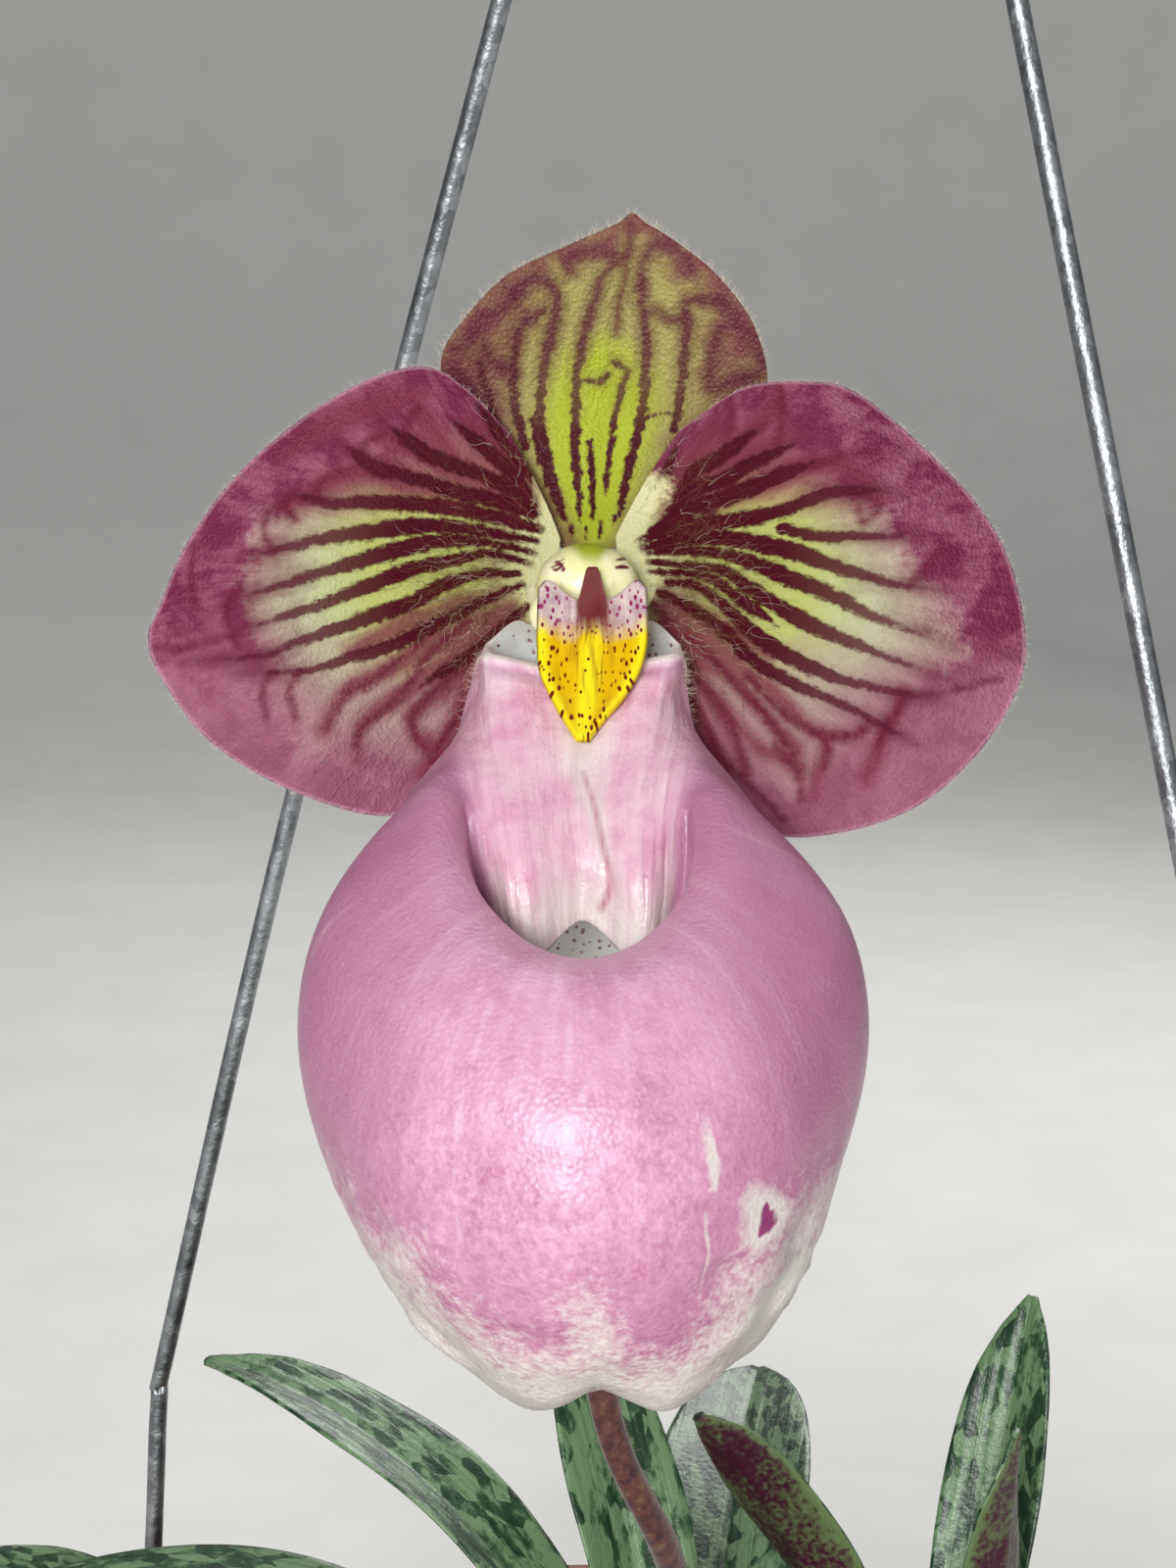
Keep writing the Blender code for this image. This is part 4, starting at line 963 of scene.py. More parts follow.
bump = add(tree, "Bump", {"Height": height, "Strength": 0.7, "Distance": 0.0003})
rough = add(tree, "MapRange", {0: up, "From Min": 3.0, "From Max": 12.0, "To Min": 0.16,
                               "To Max": 0.48})
wire(shader, {"Base Color": colour, "Roughness": rough, "Normal": bump})


def downy_back(name, across, run, tones, strength):
    """The matt, downy back of a sepal or petal, streaked along its veins at sizes in millimetres."""
    made, tree, shader = substance(name, {"Roughness": 0.6, "IOR": 1.4, "Sheen Weight": 0.3})
    vein = add(tree, "Attribute", out=1, attribute_name="vein")
    long_way = add(tree, "Mapping", {0: vein, 3: (1 / across, 1 / run, 1.0)})
    streak = add(tree, "TexNoise", {0: long_way, "Scale": 1.0, "Detail": 4.0})
    colour = add(tree, "ValToRGB", {0: streak}, stops=tones)
    bump = add(tree, "Bump", {"Height": streak, "Strength": strength, "Distance": 0.0004})
    wire(shader, {"Base Color": colour, "Normal": bump})
    return made


sepal_back = downy_back("downy_sepal_back", 1.6, 16.0, [(0.40, SEPAL_BACK_PINK), (0.58, SEPAL_BACK)], 0.4)

rows = fan_rows(((2.4, -2.1), (-2.4, -2.1)), SYNSEPAL, synsepal_depth, 96, 60, 0.35)
synsepal = skin("synsepal", rows)
lower_stripes = [[(*rows[ring, ray, ::2], 0.28 - 0.14 * ring / 60) for ring in range(4, 56, 6)]
                 for ray in range(8, 96, 10)]
store_petal(synsepal, rows, lower_stripes, lower_stripes[:1], SYNSEPAL, lower_stripes[:1], SYNSEPAL)
synsepal.data.transform(flower)
thicken(synsepal, SEPAL_THICKNESS, 0.4, rim_weights(rows, 2.5))
fit(synsepal, [sepal, sepal_back], "sepal", "synsepal")


# Dorsal sepal: the upper sepal, a broad blade that stands up behind the petals and hoods forward at
# its pointed top. Its stripes run up from the base and end in loops. Each point of a stroke is
# across, up and half its width, in millimetres as seen from the front.
DORSAL = [(-12.8, 13.6), (-13.5, 18.4), (-11.6, 21.6), (-7.3, 25.8), (-1.6, 28.5), (2.6, 30.3), (4.0, 31.3),
          (5.2, 30.4), (7.6, 29.0), (11.7, 25.9), (15.3, 21.2), (16.4, 15.4), (12.6, 8.2)]
DORSAL_STRIPES = [
    [(-2.2, 4.1, 0.3), (-3.5, 8.0, 0.6), (-4.4, 10.9, 0.5), (-5.1, 13.3, 0.25)],
    [(-3.1, 7.6, 0.4), (-4.0, 10.9, 0.45), (-4.4, 14.6, 0.4), (-4.0, 18.5, 0.45), (-3.3, 21.5, 0.5),
     (-2.9, 24.2, 0.45), (-3.5, 25.9, 0.4), (-5.1, 26.3, 0.4), (-6.8, 25.0, 0.4)],
    [(-0.8, 3.9, 0.15), (-1.0, 7.6, 0.35), (-1.2, 10.9, 0.45), (-1.1, 14.1, 0.42), (-1.0, 17.6, 0.4),
     (-0.3, 21.5, 0.4), (0.6, 24.4, 0.35), (1.3, 26.6, 0.25), (3.7, 28.7, 0.1)],
    [(0.4, 4.1, 0.2), (0.3, 8.0, 0.35), (0.1, 11.1, 0.25)],
    [(1.6, 6.5, 0.25), (2.1, 10.2, 0.3), (2.6, 13.3, 0.28), (3.2, 16.3, 0.28), (3.7, 17.6, 0.25),
     (2.4, 18.7, 0.2)],
    [(2.9, 4.7, 0.3), (3.7, 8.5, 0.45), (4.5, 11.7, 0.45), (5.1, 15.2, 0.45), (5.3, 18.5, 0.45),
     (5.3, 21.5, 0.4), (5.0, 24.4, 0.35), (5.0, 25.7, 0.25)],
    [(7.8, 12.2, 0.35), (8.4, 15.2, 0.4), (8.8, 18.5, 0.4), (9.1, 21.5, 0.4), (9.2, 24.2, 0.35),
     (12.4, 24.2, 0.3)],
    [(-5.7, 10.6, 0.4), (-6.6, 14.1, 0.42), (-6.9, 17.6, 0.4), (-6.6, 20.2, 0.35), (-6.1, 22.0, 0.3),
     (-4.0, 23.5, 0.25)],
    [(-0.3, 17.0, 0.2), (1.1, 16.8, 0.28), (1.7, 17.4, 0.22)],
    [(5.0, 13.0, 0.25), (5.6, 13.6, 0.2), (7.4, 13.8, 0.08)],
    [(-8.1, 12.2, 0.3), (-9.4, 16.3, 0.35), (-10.1, 18.7, 0.3)],
    [(-1.5, 2.7, 0.12), (-1.6, 3.4, 0.14)],
    [(-0.2, 2.2, 0.1), (-0.2, 3.2, 0.12)],
    [(1.0, 2.4, 0.1), (1.2, 3.8, 0.12)],
    [(2.2, 3.0, 0.1), (2.5, 4.3, 0.14)],
]
DORSAL_LINES = [
    [(-6.8, 25.0, 0.4), (-8.1, 23.5, 0.3), (-9.8, 22.8, 0.3), (-10.9, 20.7, 0.25), (-12.5, 19.8, 0.25)],
    [(-6.9, 17.6, 0.3), (-8.8, 18.9, 0.3), (-9.6, 20.2, 0.25)],
    [(-2.0, 27.9, 0.35), (-0.0, 28.8, 0.35), (2.1, 28.6, 0.3)],
    [(-2.0, 27.9, 0.3), (-1.7, 26.8, 0.2)],
    [(5.0, 25.7, 0.3), (5.0, 27.6, 0.25), (6.3, 29.4, 0.2), (8.3, 28.7, 0.2), (9.6, 26.8, 0.15)],
    [(12.4, 24.2, 0.35), (13.5, 22.4, 0.3), (12.0, 21.5, 0.3), (11.3, 18.9, 0.3), (11.1, 16.3, 0.25)],
    [(6.5, 23.3, 0.25), (7.4, 22.6, 0.3), (8.9, 22.4, 0.25)],
    [(13.5, 22.4, 0.3), (15.2, 20.7, 0.3), (15.9, 18.0, 0.3), (13.7, 17.2, 0.25), (11.5, 16.3, 0.2)],
    [(-12.5, 18.0, 0.3), (-10.9, 16.5, 0.3), (-9.6, 15.0, 0.25)],
    [(2.6, 21.5, 0.12), (2.8, 23.9, 0.15), (3.5, 26.6, 0.15), (4.0, 30.9, 0.1)],
]
DORSAL_BRIGHT = [(-1.6, 0.5), (-3.4, 5.0), (-4.4, 10.0), (-4.2, 15.0), (-2.4, 19.0), (1.0, 21.0), (4.6, 19.5),
                 (6.4, 16.0), (6.0, 11.0), (4.0, 5.0), (2.2, 0.5)]
DORSAL_FIELD = [(-1.3, 2.1), (-3.1, 5.4), (-5.7, 10.2), (-7.0, 14.1), (-7.2, 17.2), (-5.7, 20.7),
                (-5.1, 23.5), (-3.1, 27.2), (-0.5, 27.6), (1.7, 28.3), (3.9, 29.8), (5.6, 28.1),
                (7.6, 26.6), (10.4, 23.3), (10.7, 19.8), (10.4, 16.3), (9.6, 13.0), (6.5, 8.7), (4.3, 4.3),
                (2.6, 1.5), (0.4, 0.6)]


def dorsal_depth(x, z, _out):
    """Behind the petals below, hooded forward above, the middle line set back."""
    hood = -8.5 * blend(13.0, 34.0, z)
    cup = -2.2 * blend(14.0, 22.0, z) * np.minimum(np.abs(x - z * 0.12) / 15.0, 1.0) ** 2
    keel = 0.35 * np.exp(-((x - z * 0.12) / 1.2) ** 2) * blend(2.0, 8.0, z)
    return 3.2 - 0.7 * blend(4.0, 11.0, z) + hood + cup + keel


dorsal_rows = fan_rows(((-2.4, 1.6), (2.6, 1.6)), DORSAL, dorsal_depth, 180, 110, 0.35)
dorsal = skin("dorsal_sepal", dorsal_rows)
store_petal(dorsal, dorsal_rows, DORSAL_STRIPES, DORSAL_LINES, DORSAL_FIELD, DORSAL_LINES[:1], DORSAL_BRIGHT)
dorsal.data.transform(flower)
thicken(dorsal, SEPAL_THICKNESS, 0.4, rim_weights(dorsal_rows, 2.0))
fit(dorsal, [sepal, sepal_back], "sepal", "dorsal_sepal")


def rim_hairs(rows, count, longest, seed):
    """Roots, directions and lengths of hairs along a fan's rim."""
    draw = np.random.default_rng(seed)
    place = draw.uniform(0.03, 0.97, count) * (rows.shape[1] - 1.001)
    first = place.astype(int)
    part = (place - first)[:, None]
    roots = rows[-1, first] * (1 - part) + rows[-1, first + 1] * part
    out = rows[-1, first] - rows[-4, first]
    out /= np.linalg.norm(out, axis=1)[:, None]
    ways = out + draw.normal(size=(count, 3)) * 0.3 + np.array((0, -0.25, 0))
    return roots - 0.1 * out, ways, draw.uniform(0.4, 1.0, count) * longest


grow("dorsal_fringe", pale_hair, "sepal", "dorsal_sepal", flower,
     *rim_hairs(dorsal_rows, 620, 1.2, 71), 0.06, 72)


# Petals: two broad rounded blades, one each side, whose margins overlap the dorsal sepal. They are
# striped inside, purple outside, with a satin skin and soft waves.
PETAL_THICKNESS = 1.0
PETAL_HAIRS = 1100
BROWN_HAIRS = 850
PETAL_GREEN = "#b3b968"
PETAL_PALE = "#bcc09c"
PETAL_BASE = "#dcd9a6"
PETAL_SILVER_SHEEN = "#a68d86"
PETAL_BLUSH = "#a4726a"
PETAL_PURPLE = "#6c2240"
PETAL_MAGENTA = "#7c2c4c"
PETAL_LILAC_SHEEN = "#a46a80"
PETAL_RIM = "#c09aaa"
PETAL_STRIPE = "#460618"
PETAL_STRIPE_END = "#5c1630"
PETAL_VEINLET = "#8f4a3c"
PETAL_LINE = "#63172f"
PETAL_SMUDGE = "#762c40"
PETAL_BACK = "#8c4c63"
PETAL_BACK_PALE = "#a37f80"
PALE_BASE = [(-4.9, 9.2), (-4.7, 6.5), (-4.3, 4.0), (-4.7, 1.4), (-5.8, -0.3), (-5.9, -1.9), (-5.2, -3.3),
             (-3.5, -6.0), (3.5, -6.0), (5.4, -3.2), (6.0, -1.7), (5.7, 0.2), (5.1, 1.8), (5.0, 3.0),
             (6.2, 4.4), (7.2, 5.6), (7.4, 8.0), (0.0, 9.2)]
PETAL_LEFT = [(-7.3, 12.0), (-11.1, 15.9), (-15.4, 18.0), (-22.3, 15.7), (-30.7, 9.6), (-36.4, 2.6),
              (-39.4, -4.3), (-40.3, -6.6), (-39.4, -10.0), (-34.9, -16.1), (-28.2, -20.4),
              (-20.0, -23.1), (-15.0, -22.2), (-10.8, -18.4)]
PETAL_RIGHT = [(8.4, 12.2), (14.2, 16.0), (20.2, 16.6), (25.0, 15.4), (32.5, 9.0), (37.3, 3.2),
               (39.6, -3.0), (39.9, -9.9), (36.2, -16.8), (30.0, -22.4), (22.2, -24.9),
               (16.0, -24.6), (10.8, -20.6)]
LEFT_STRIPES = [
    [(-4.5, 3.2, 0.35), (-7.6, 4.0, 0.55), (-10.7, 4.7, 0.5), (-14.7, 5.3, 0.45), (-18.9, 5.6, 0.42),
     (-23.1, 5.5, 0.4), (-24.9, 5.8, 0.3)],
    [(-4.8, 2.1, 0.2), (-9.1, 2.8, 0.4), (-13.3, 3.4, 0.5), (-17.5, 3.3, 0.55), (-21.7, 2.7, 0.5),
     (-25.4, 2.0, 0.42), (-29.0, 1.1, 0.3)],
    [(-5.1, 0.9, 0.2), (-9.1, 1.9, 0.3), (-12.7, 2.1, 0.45), (-16.1, 1.6, 0.55), (-20.0, 0.5, 0.5),
     (-24.5, -0.8, 0.45), (-27.9, -1.9, 0.35), (-30.7, -2.9, 0.15)],
    [(-5.4, -0.1, 0.2), (-9.1, 0.9, 0.3), (-12.7, 0.2, 0.4), (-16.1, -0.5, 0.5), (-19.5, -1.8, 0.5),
     (-23.1, -3.2, 0.45), (-26.8, -4.5, 0.4), (-30.1, -5.6, 0.2)],
    [(-6.5, -1.0, 0.2), (-9.6, -1.0, 0.3), (-13.0, -1.9, 0.45), (-16.6, -3.8, 0.5), (-20.0, -4.9, 0.5),
     (-24.0, -6.3, 0.45), (-27.3, -7.4, 0.4), (-29.6, -8.4, 0.3), (-34.1, -8.8, 0.12)],
    [(-6.2, -2.0, 0.2), (-9.1, -3.2, 0.3), (-11.9, -4.6, 0.4), (-15.0, -6.1, 0.42), (-18.1, -7.5, 0.42),
     (-21.7, -8.6, 0.4), (-24.5, -9.5, 0.3), (-26.5, -9.9, 0.3), (-29.3, -10.0, 0.2)],
    [(-5.1, 4.7, 0.5), (-8.2, 5.6, 0.6), (-11.6, 6.4, 0.5), (-14.7, 7.4, 0.42), (-17.5, 8.2, 0.42),
     (-19.7, 8.7, 0.4), (-20.9, 9.6, 0.3)],
    [(-5.1, 5.3, 0.5), (-7.4, 7.0, 0.6), (-9.9, 8.1, 0.5), (-13.0, 9.2, 0.42), (-15.2, 10.2, 0.42),
     (-16.6, 11.2, 0.3)],
    [(-5.1, 5.8, 0.4), (-6.8, 8.1, 0.5), (-9.1, 10.1, 0.42), (-10.7, 11.5, 0.3)],
    [(-5.1, 7.6, 0.25), (-6.2, 9.2, 0.3), (-7.6, 10.9, 0.25), (-8.8, 12.6, 0.2)],
    [(-5.7, -4.1, 0.3), (-7.9, -6.0, 0.35), (-10.5, -8.1, 0.3), (-13.3, -9.9, 0.22)],
]
LEFT_LINES = [
    [(-13.3, -5.4, 0.3), (-16.6, -8.2, 0.3), (-20.0, -10.9, 0.25), (-22.0, -11.9, 0.22),
     (-23.1, -13.3, 0.18), (-24.1, -15.1, 0.15)],
    [(-11.0, -5.4, 0.3), (-14.4, -8.2, 0.3), (-17.2, -11.9, 0.22), (-20.0, -14.4, 0.2),
     (-21.1, -15.5, 0.2), (-21.4, -16.9, 0.15)],
    [(-8.2, -6.5, 0.35), (-11.0, -9.1, 0.3), (-14.4, -11.9, 0.25), (-16.1, -14.0, 0.25),
     (-15.9, -15.8, 0.2), (-14.7, -17.5, 0.15)],
    [(-8.6, -8.5, 0.35), (-11.0, -12.4, 0.35), (-12.7, -15.0, 0.25), (-14.1, -17.2, 0.2)],
    [(-8.7, -10.5, 0.3), (-10.2, -13.3, 0.25), (-11.9, -15.8, 0.2), (-14.4, -18.3, 0.15)],
    [(-26.5, -9.9, 0.25), (-27.4, -11.6, 0.22), (-26.8, -14.0, 0.15)],
    [(-29.0, -10.0, 0.22), (-29.8, -11.6, 0.18), (-29.4, -14.1, 0.12)],
    [(-26.8, 4.0, 0.3), (-27.7, 5.3, 0.3), (-26.8, 6.1, 0.25), (-25.9, 5.8, 0.2)],
    [(-24.9, 5.8, 0.25), (-24.8, 7.0, 0.25), (-23.4, 8.0, 0.2), (-21.7, 8.4, 0.15)],
    [(-29.0, 1.1, 0.25), (-29.6, 2.8, 0.2), (-29.3, 4.2, 0.2), (-28.2, 5.3, 0.15)],
    [(-20.9, 9.6, 0.3), (-20.4, 10.9, 0.25), (-18.9, 11.8, 0.2)],
    [(-17.2, 11.3, 0.3), (-16.6, 12.9, 0.25), (-15.5, 14.3, 0.2)],
    [(-31.8, -2.0, 0.2), (-33.0, -4.6, 0.2), (-32.1, -7.7, 0.15)],
    [(-35.8, -4.0, 0.3), (-36.3, -1.5, 0.3), (-36.1, 1.3, 0.2)],
    [(-39.7, -7.7, 0.2), (-36.3, -7.7, 0.18), (-32.1, -6.5, 0.15)],
]
LEFT_SMUDGES = [
    [(-7.4, 6.0, 0.8), (-12.0, 8.5, 1.1), (-16.0, 10.6, 0.7), (-19.0, 11.6, 0.3)],
    [(-6.5, 8.2, 0.7), (-9.0, 10.8, 0.9), (-11.0, 13.0, 0.3)],
    [(-11.0, 5.9, 0.6), (-17.0, 7.5, 0.9), (-21.0, 8.4, 0.6), (-25.0, 6.6, 0.5), (-27.5, 5.0, 0.3)],
    [(-12.0, 9.4, 0.4), (-14.6, 12.6, 0.6), (-16.0, 15.0, 0.3)],
    [(-15.0, 15.6, 0.3), (-19.5, 14.4, 0.9), (-24.0, 12.4, 0.7), (-28.0, 9.6, 0.2)],
    [(-8.6, -3.3, 0.5), (-13.0, -4.2, 0.7), (-16.0, -5.2, 0.7), (-19.5, -7.0, 0.6), (-22.0, -8.0, 0.3)],
    [(-7.0, -3.9, 0.6), (-11.0, -6.0, 1.1), (-14.0, -7.5, 1.2), (-17.0, -9.2, 0.7), (-20.0, -10.4, 0.45),
     (-22.5, -11.6, 0.35), (-23.5, -13.2, 0.3), (-24.2, -15.2, 0.2)],
    [(-7.2, -4.9, 0.8), (-9.8, -7.0, 1.0), (-12.5, -9.0, 1.0), (-15.5, -10.8, 0.7), (-18.0, -12.6, 0.5),
     (-20.6, -14.6, 0.4), (-21.2, -16.2, 0.3), (-21.2, -18.0, 0.2)],
    [(-9.5, -8.2, 0.6), (-12.0, -10.2, 0.7), (-14.0, -11.9, 0.5), (-16.0, -13.8, 0.4), (-16.1, -15.2, 0.4),
     (-15.3, -16.2, 0.6), (-14.0, -17.2, 0.6), (-15.4, -19.2, 0.4)],
    [(-9.9, -8.8, 0.4), (-11.2, -11.6, 0.5), (-12.0, -14.2, 0.5), (-13.2, -16.6, 0.5), (-14.6, -18.4, 0.4)],
    [(-9.0, -9.4, 0.3), (-9.7, -11.4, 0.4), (-11.0, -13.6, 0.3), (-12.8, -16.0, 0.3)],
]
LEFT_FIELD = [(-4.0, 8.1), (-6.5, 10.9), (-9.6, 12.7), (-13.3, 13.0), (-16.6, 11.8), (-20.0, 10.1),
              (-23.4, 8.5), (-26.8, 6.4), (-29.3, 4.7), (-30.1, 1.9), (-31.7, -1.5), (-32.1, -4.8),
              (-30.7, -7.7), (-30.1, -11.0), (-28.7, -14.4), (-26.2, -17.2), (-22.3, -19.2), (-17.2, -20.0),
              (-13.3, -18.3), (-10.5, -15.8), (-7.9, -10.5), (-3.6, -6.0)]
RIGHT_STRIPES = [
    [(4.8, 1.9, 0.4), (7.5, 3.1, 0.6), (11.3, 3.7, 0.6), (14.7, 4.1, 0.5), (18.5, 5.0, 0.4),
     (21.9, 6.4, 0.4), (24.8, 6.5, 0.25)],
    [(5.2, 1.5, 0.4), (8.4, 2.1, 0.6), (11.8, 2.4, 0.6), (15.6, 1.8, 0.6), (19.0, 1.1, 0.6),
     (22.5, -0.2, 0.5), (26.5, -1.5, 0.4), (29.6, -2.1, 0.25)],
    [(5.7, 1.0, 0.2), (9.3, 1.1, 0.3), (12.7, 0.8, 0.4), (15.6, -0.1, 0.5), (18.7, -1.4, 0.55),
     (22.5, -2.9, 0.5), (25.6, -4.5, 0.45), (28.8, -5.8, 0.3), (31.1, -6.8, 0.15)],
    [(5.7, 0.1, 0.2), (9.0, -0.2, 0.25), (12.7, -0.8, 0.35), (14.7, -2.2, 0.45), (17.9, -4.2, 0.5),
     (21.3, -6.0, 0.5), (24.8, -7.5, 0.45), (28.2, -8.8, 0.35), (30.8, -9.8, 0.15)],
    [(5.8, -0.8, 0.2), (8.7, -0.9, 0.25), (11.3, -1.4, 0.3), (13.3, -2.8, 0.35), (15.3, -4.2, 0.4)],
    [(7.3, -1.8, 0.2), (10.1, -2.1, 0.3), (12.7, -4.1, 0.4), (15.6, -6.8, 0.5), (19.0, -8.8, 0.5),
     (22.5, -10.3, 0.45), (25.9, -11.3, 0.4), (29.4, -12.1, 0.3)],
    [(6.7, -2.7, 0.2), (9.6, -4.2, 0.35), (12.4, -6.0, 0.4), (14.7, -8.5, 0.4), (17.9, -10.5, 0.38),
     (21.3, -12.0, 0.35), (24.5, -13.4, 0.35), (27.4, -15.0, 0.3)],
    [(6.1, 2.9, 0.5), (9.0, 4.7, 0.6), (12.1, 5.8, 0.6), (15.3, 7.0, 0.5), (18.7, 8.4, 0.35)],
    [(7.5, 4.4, 0.5), (9.8, 6.7, 0.5), (12.4, 7.5, 0.45), (14.4, 8.7, 0.35), (16.7, 9.8, 0.25)],
    [(8.4, 6.1, 0.4), (9.8, 8.4, 0.4), (11.6, 9.3, 0.35), (13.9, 11.0, 0.3)],
    [(5.8, 7.0, 0.2), (7.0, 7.8, 0.22), (7.5, 9.0, 0.2)],
    [(17.9, 3.2, 0.3), (21.3, 2.4, 0.35), (24.2, 2.5, 0.35), (27.1, 2.4, 0.3)],
]
RIGHT_LINES = [
    [(6.1, -3.7, 0.3), (9.0, -6.8, 0.35), (11.3, -8.5, 0.3), (13.9, -11.4, 0.3), (16.2, -13.7, 0.3),
     (17.9, -16.0, 0.22), (19.0, -17.4, 0.2)],
    [(7.0, -5.4, 0.35), (9.0, -8.8, 0.35), (11.3, -12.0, 0.3), (13.3, -14.9, 0.25), (14.1, -17.4, 0.2),
     (14.7, -19.4, 0.15)],
    [(14.7, -10.3, 0.3), (17.9, -13.7, 0.3), (20.2, -15.1, 0.3), (22.5, -15.9, 0.3), (24.5, -15.7, 0.25),
     (25.6, -15.0, 0.2)],
    [(8.1, -10.3, 0.3), (9.6, -12.8, 0.3), (11.0, -15.1, 0.25), (12.1, -17.4, 0.2)],
    [(7.8, -12.0, 0.2), (9.0, -14.3, 0.2), (11.3, -16.9, 0.2), (13.9, -19.4, 0.2), (17.9, -23.5, 0.2)],
    [(24.8, 6.5, 0.25), (26.5, 5.2, 0.25), (25.3, 3.8, 0.25), (24.8, 5.0, 0.2)],
    [(29.6, -2.1, 0.25), (30.5, -0.8, 0.2), (32.2, 1.2, 0.15)],
    [(29.1, -12.0, 0.3), (28.5, -13.4, 0.25), (27.2, -15.1, 0.25), (26.5, -16.9, 0.15)],
    [(21.6, -15.7, 0.2), (22.2, -17.1, 0.2), (21.9, -18.6, 0.12)],
    [(17.3, 16.7, 0.3), (17.9, 13.6, 0.35), (17.3, 10.4, 0.3)],
    [(13.0, 15.0, 0.3), (13.3, 12.7, 0.35), (12.4, 11.0, 0.25)],
    [(29.4, -12.1, 0.25), (32.8, -11.7, 0.2), (37.7, -10.5, 0.15)],
    [(20.5, 8.7, 0.25), (23.6, 9.8, 0.2), (26.5, 10.1, 0.15)],
    [(17.3, -16.6, 0.2), (19.3, -19.2, 0.2), (19.6, -21.7, 0.12)],
]
RIGHT_SMUDGES = [
    [(7.6, 4.4, 0.8), (12.0, 7.8, 1.1), (16.0, 10.4, 0.7), (19.0, 12.0, 0.3)],
    [(7.4, 6.6, 0.7), (10.0, 9.8, 0.9), (12.0, 13.0, 0.3)],
    [(10.0, 4.8, 0.6), (15.0, 6.9, 0.9), (20.0, 8.9, 0.6), (24.0, 8.4, 0.5), (26.6, 6.0, 0.3)],
    [(13.0, 9.6, 0.4), (16.0, 13.0, 0.6), (17.6, 15.4, 0.3)],
    [(7.0, -3.2, 0.5), (10.5, -5.2, 0.7), (13.8, -6.6, 0.8), (16.4, -8.0, 0.5)],
    [(6.6, -4.2, 0.7), (9.3, -6.6, 1.0), (12.0, -8.4, 1.0), (14.5, -10.0, 0.8), (17.0, -11.6, 0.6),
     (19.5, -14.2, 0.45), (21.3, -15.6, 0.35), (23.0, -15.6, 0.25), (24.4, -16.0, 0.25), (25.3, -15.0, 0.25)],
    [(6.9, -5.4, 0.6), (8.6, -7.4, 0.8), (10.8, -9.2, 0.8), (13.0, -9.8, 0.6), (14.4, -11.4, 0.45),
     (16.2, -13.8, 0.4), (17.8, -15.6, 0.4), (19.0, -17.0, 0.5), (18.3, -17.8, 0.3)],
    [(8.0, -8.8, 0.5), (10.4, -11.2, 0.5), (12.6, -13.4, 0.35), (14.6, -15.8, 0.35), (16.2, -17.2, 0.4),
     (18.0, -17.7, 0.4), (19.4, -18.8, 0.3)],
    [(8.2, -10.2, 0.5), (9.8, -13.0, 0.5), (10.6, -15.0, 0.5), (11.8, -17.2, 0.5), (12.8, -18.6, 0.4)],
    [(9.6, -10.4, 0.3), (11.6, -12.6, 0.4), (12.7, -15.0, 0.35), (13.8, -17.2, 0.3), (14.4, -19.2, 0.25)],
    [(28.9, -12.1, 0.3), (28.2, -13.6, 0.35), (27.2, -15.3, 0.4), (26.4, -17.2, 0.4), (25.4, -19.6, 0.3)],
    [(21.6, -15.4, 0.3), (22.0, -17.1, 0.25), (21.3, -19.4, 0.25), (20.6, -21.4, 0.2)],
]
RIGHT_FIELD = [(2.4, 3.5), (5.2, 7.0), (8.7, 10.1), (11.3, 11.3), (15.0, 11.6), (19.6, 10.1), (23.0, 8.4),
               (25.6, 6.4), (27.6, 4.1), (29.4, 1.2), (31.1, -1.1), (31.9, -3.9), (34.2, -6.0),
               (35.1, -8.8), (32.2, -10.8), (29.9, -12.6), (27.6, -15.4), (24.8, -18.6), (21.3, -20.9),
               (17.9, -22.3), (14.1, -19.7), (11.3, -17.4), (7.8, -12.6), (5.2, -3.4), (2.4, 0.1)]


def fine_tail(stroke, run=3.2):
    """A stroke drawn out past its end, to a point where its width has run out."""
    (x0, z0, _), (x1, z1, _) = stroke[-2:]
    on = run / math.hypot(x1 - x0, z1 - z0)
    return [*stroke, (x1 + (x1 - x0) * on, z1 + (z1 - z0) * on, -0.4)]


def petal_depth(x, z, out):
    """Flat from the base, with soft waves, the rim rolled back a little."""
    side = np.abs(x)
    base = 1.5 * (1 - blend(3.0, 9.0, np.hypot(x, z)))
    behind_pouch = 1.4 * blend(-8.0, -20.0, z) * (1 - blend(16.0, 26.0, side))
    wave = 0.55 * np.sin(side / 5.2 + 0.6) * np.sin(z / 6.5 + np.where(x > 0, 0.8, 0.0))
    cup = -2.4 * blend(6.0, 30.0, side) + 2.2 * blend(0.72, 1.0, out) * blend(12.0, 30.0, side)
    flat = np.stack([x, np.zeros_like(x), z], axis=-1)
    folds = 0.16 * ripple(flat, 5.5, 31) * blend(14.0, 28.0, side)
    return base + behind_pouch + cup + wave * blend(9.0, 20.0, side) + folds
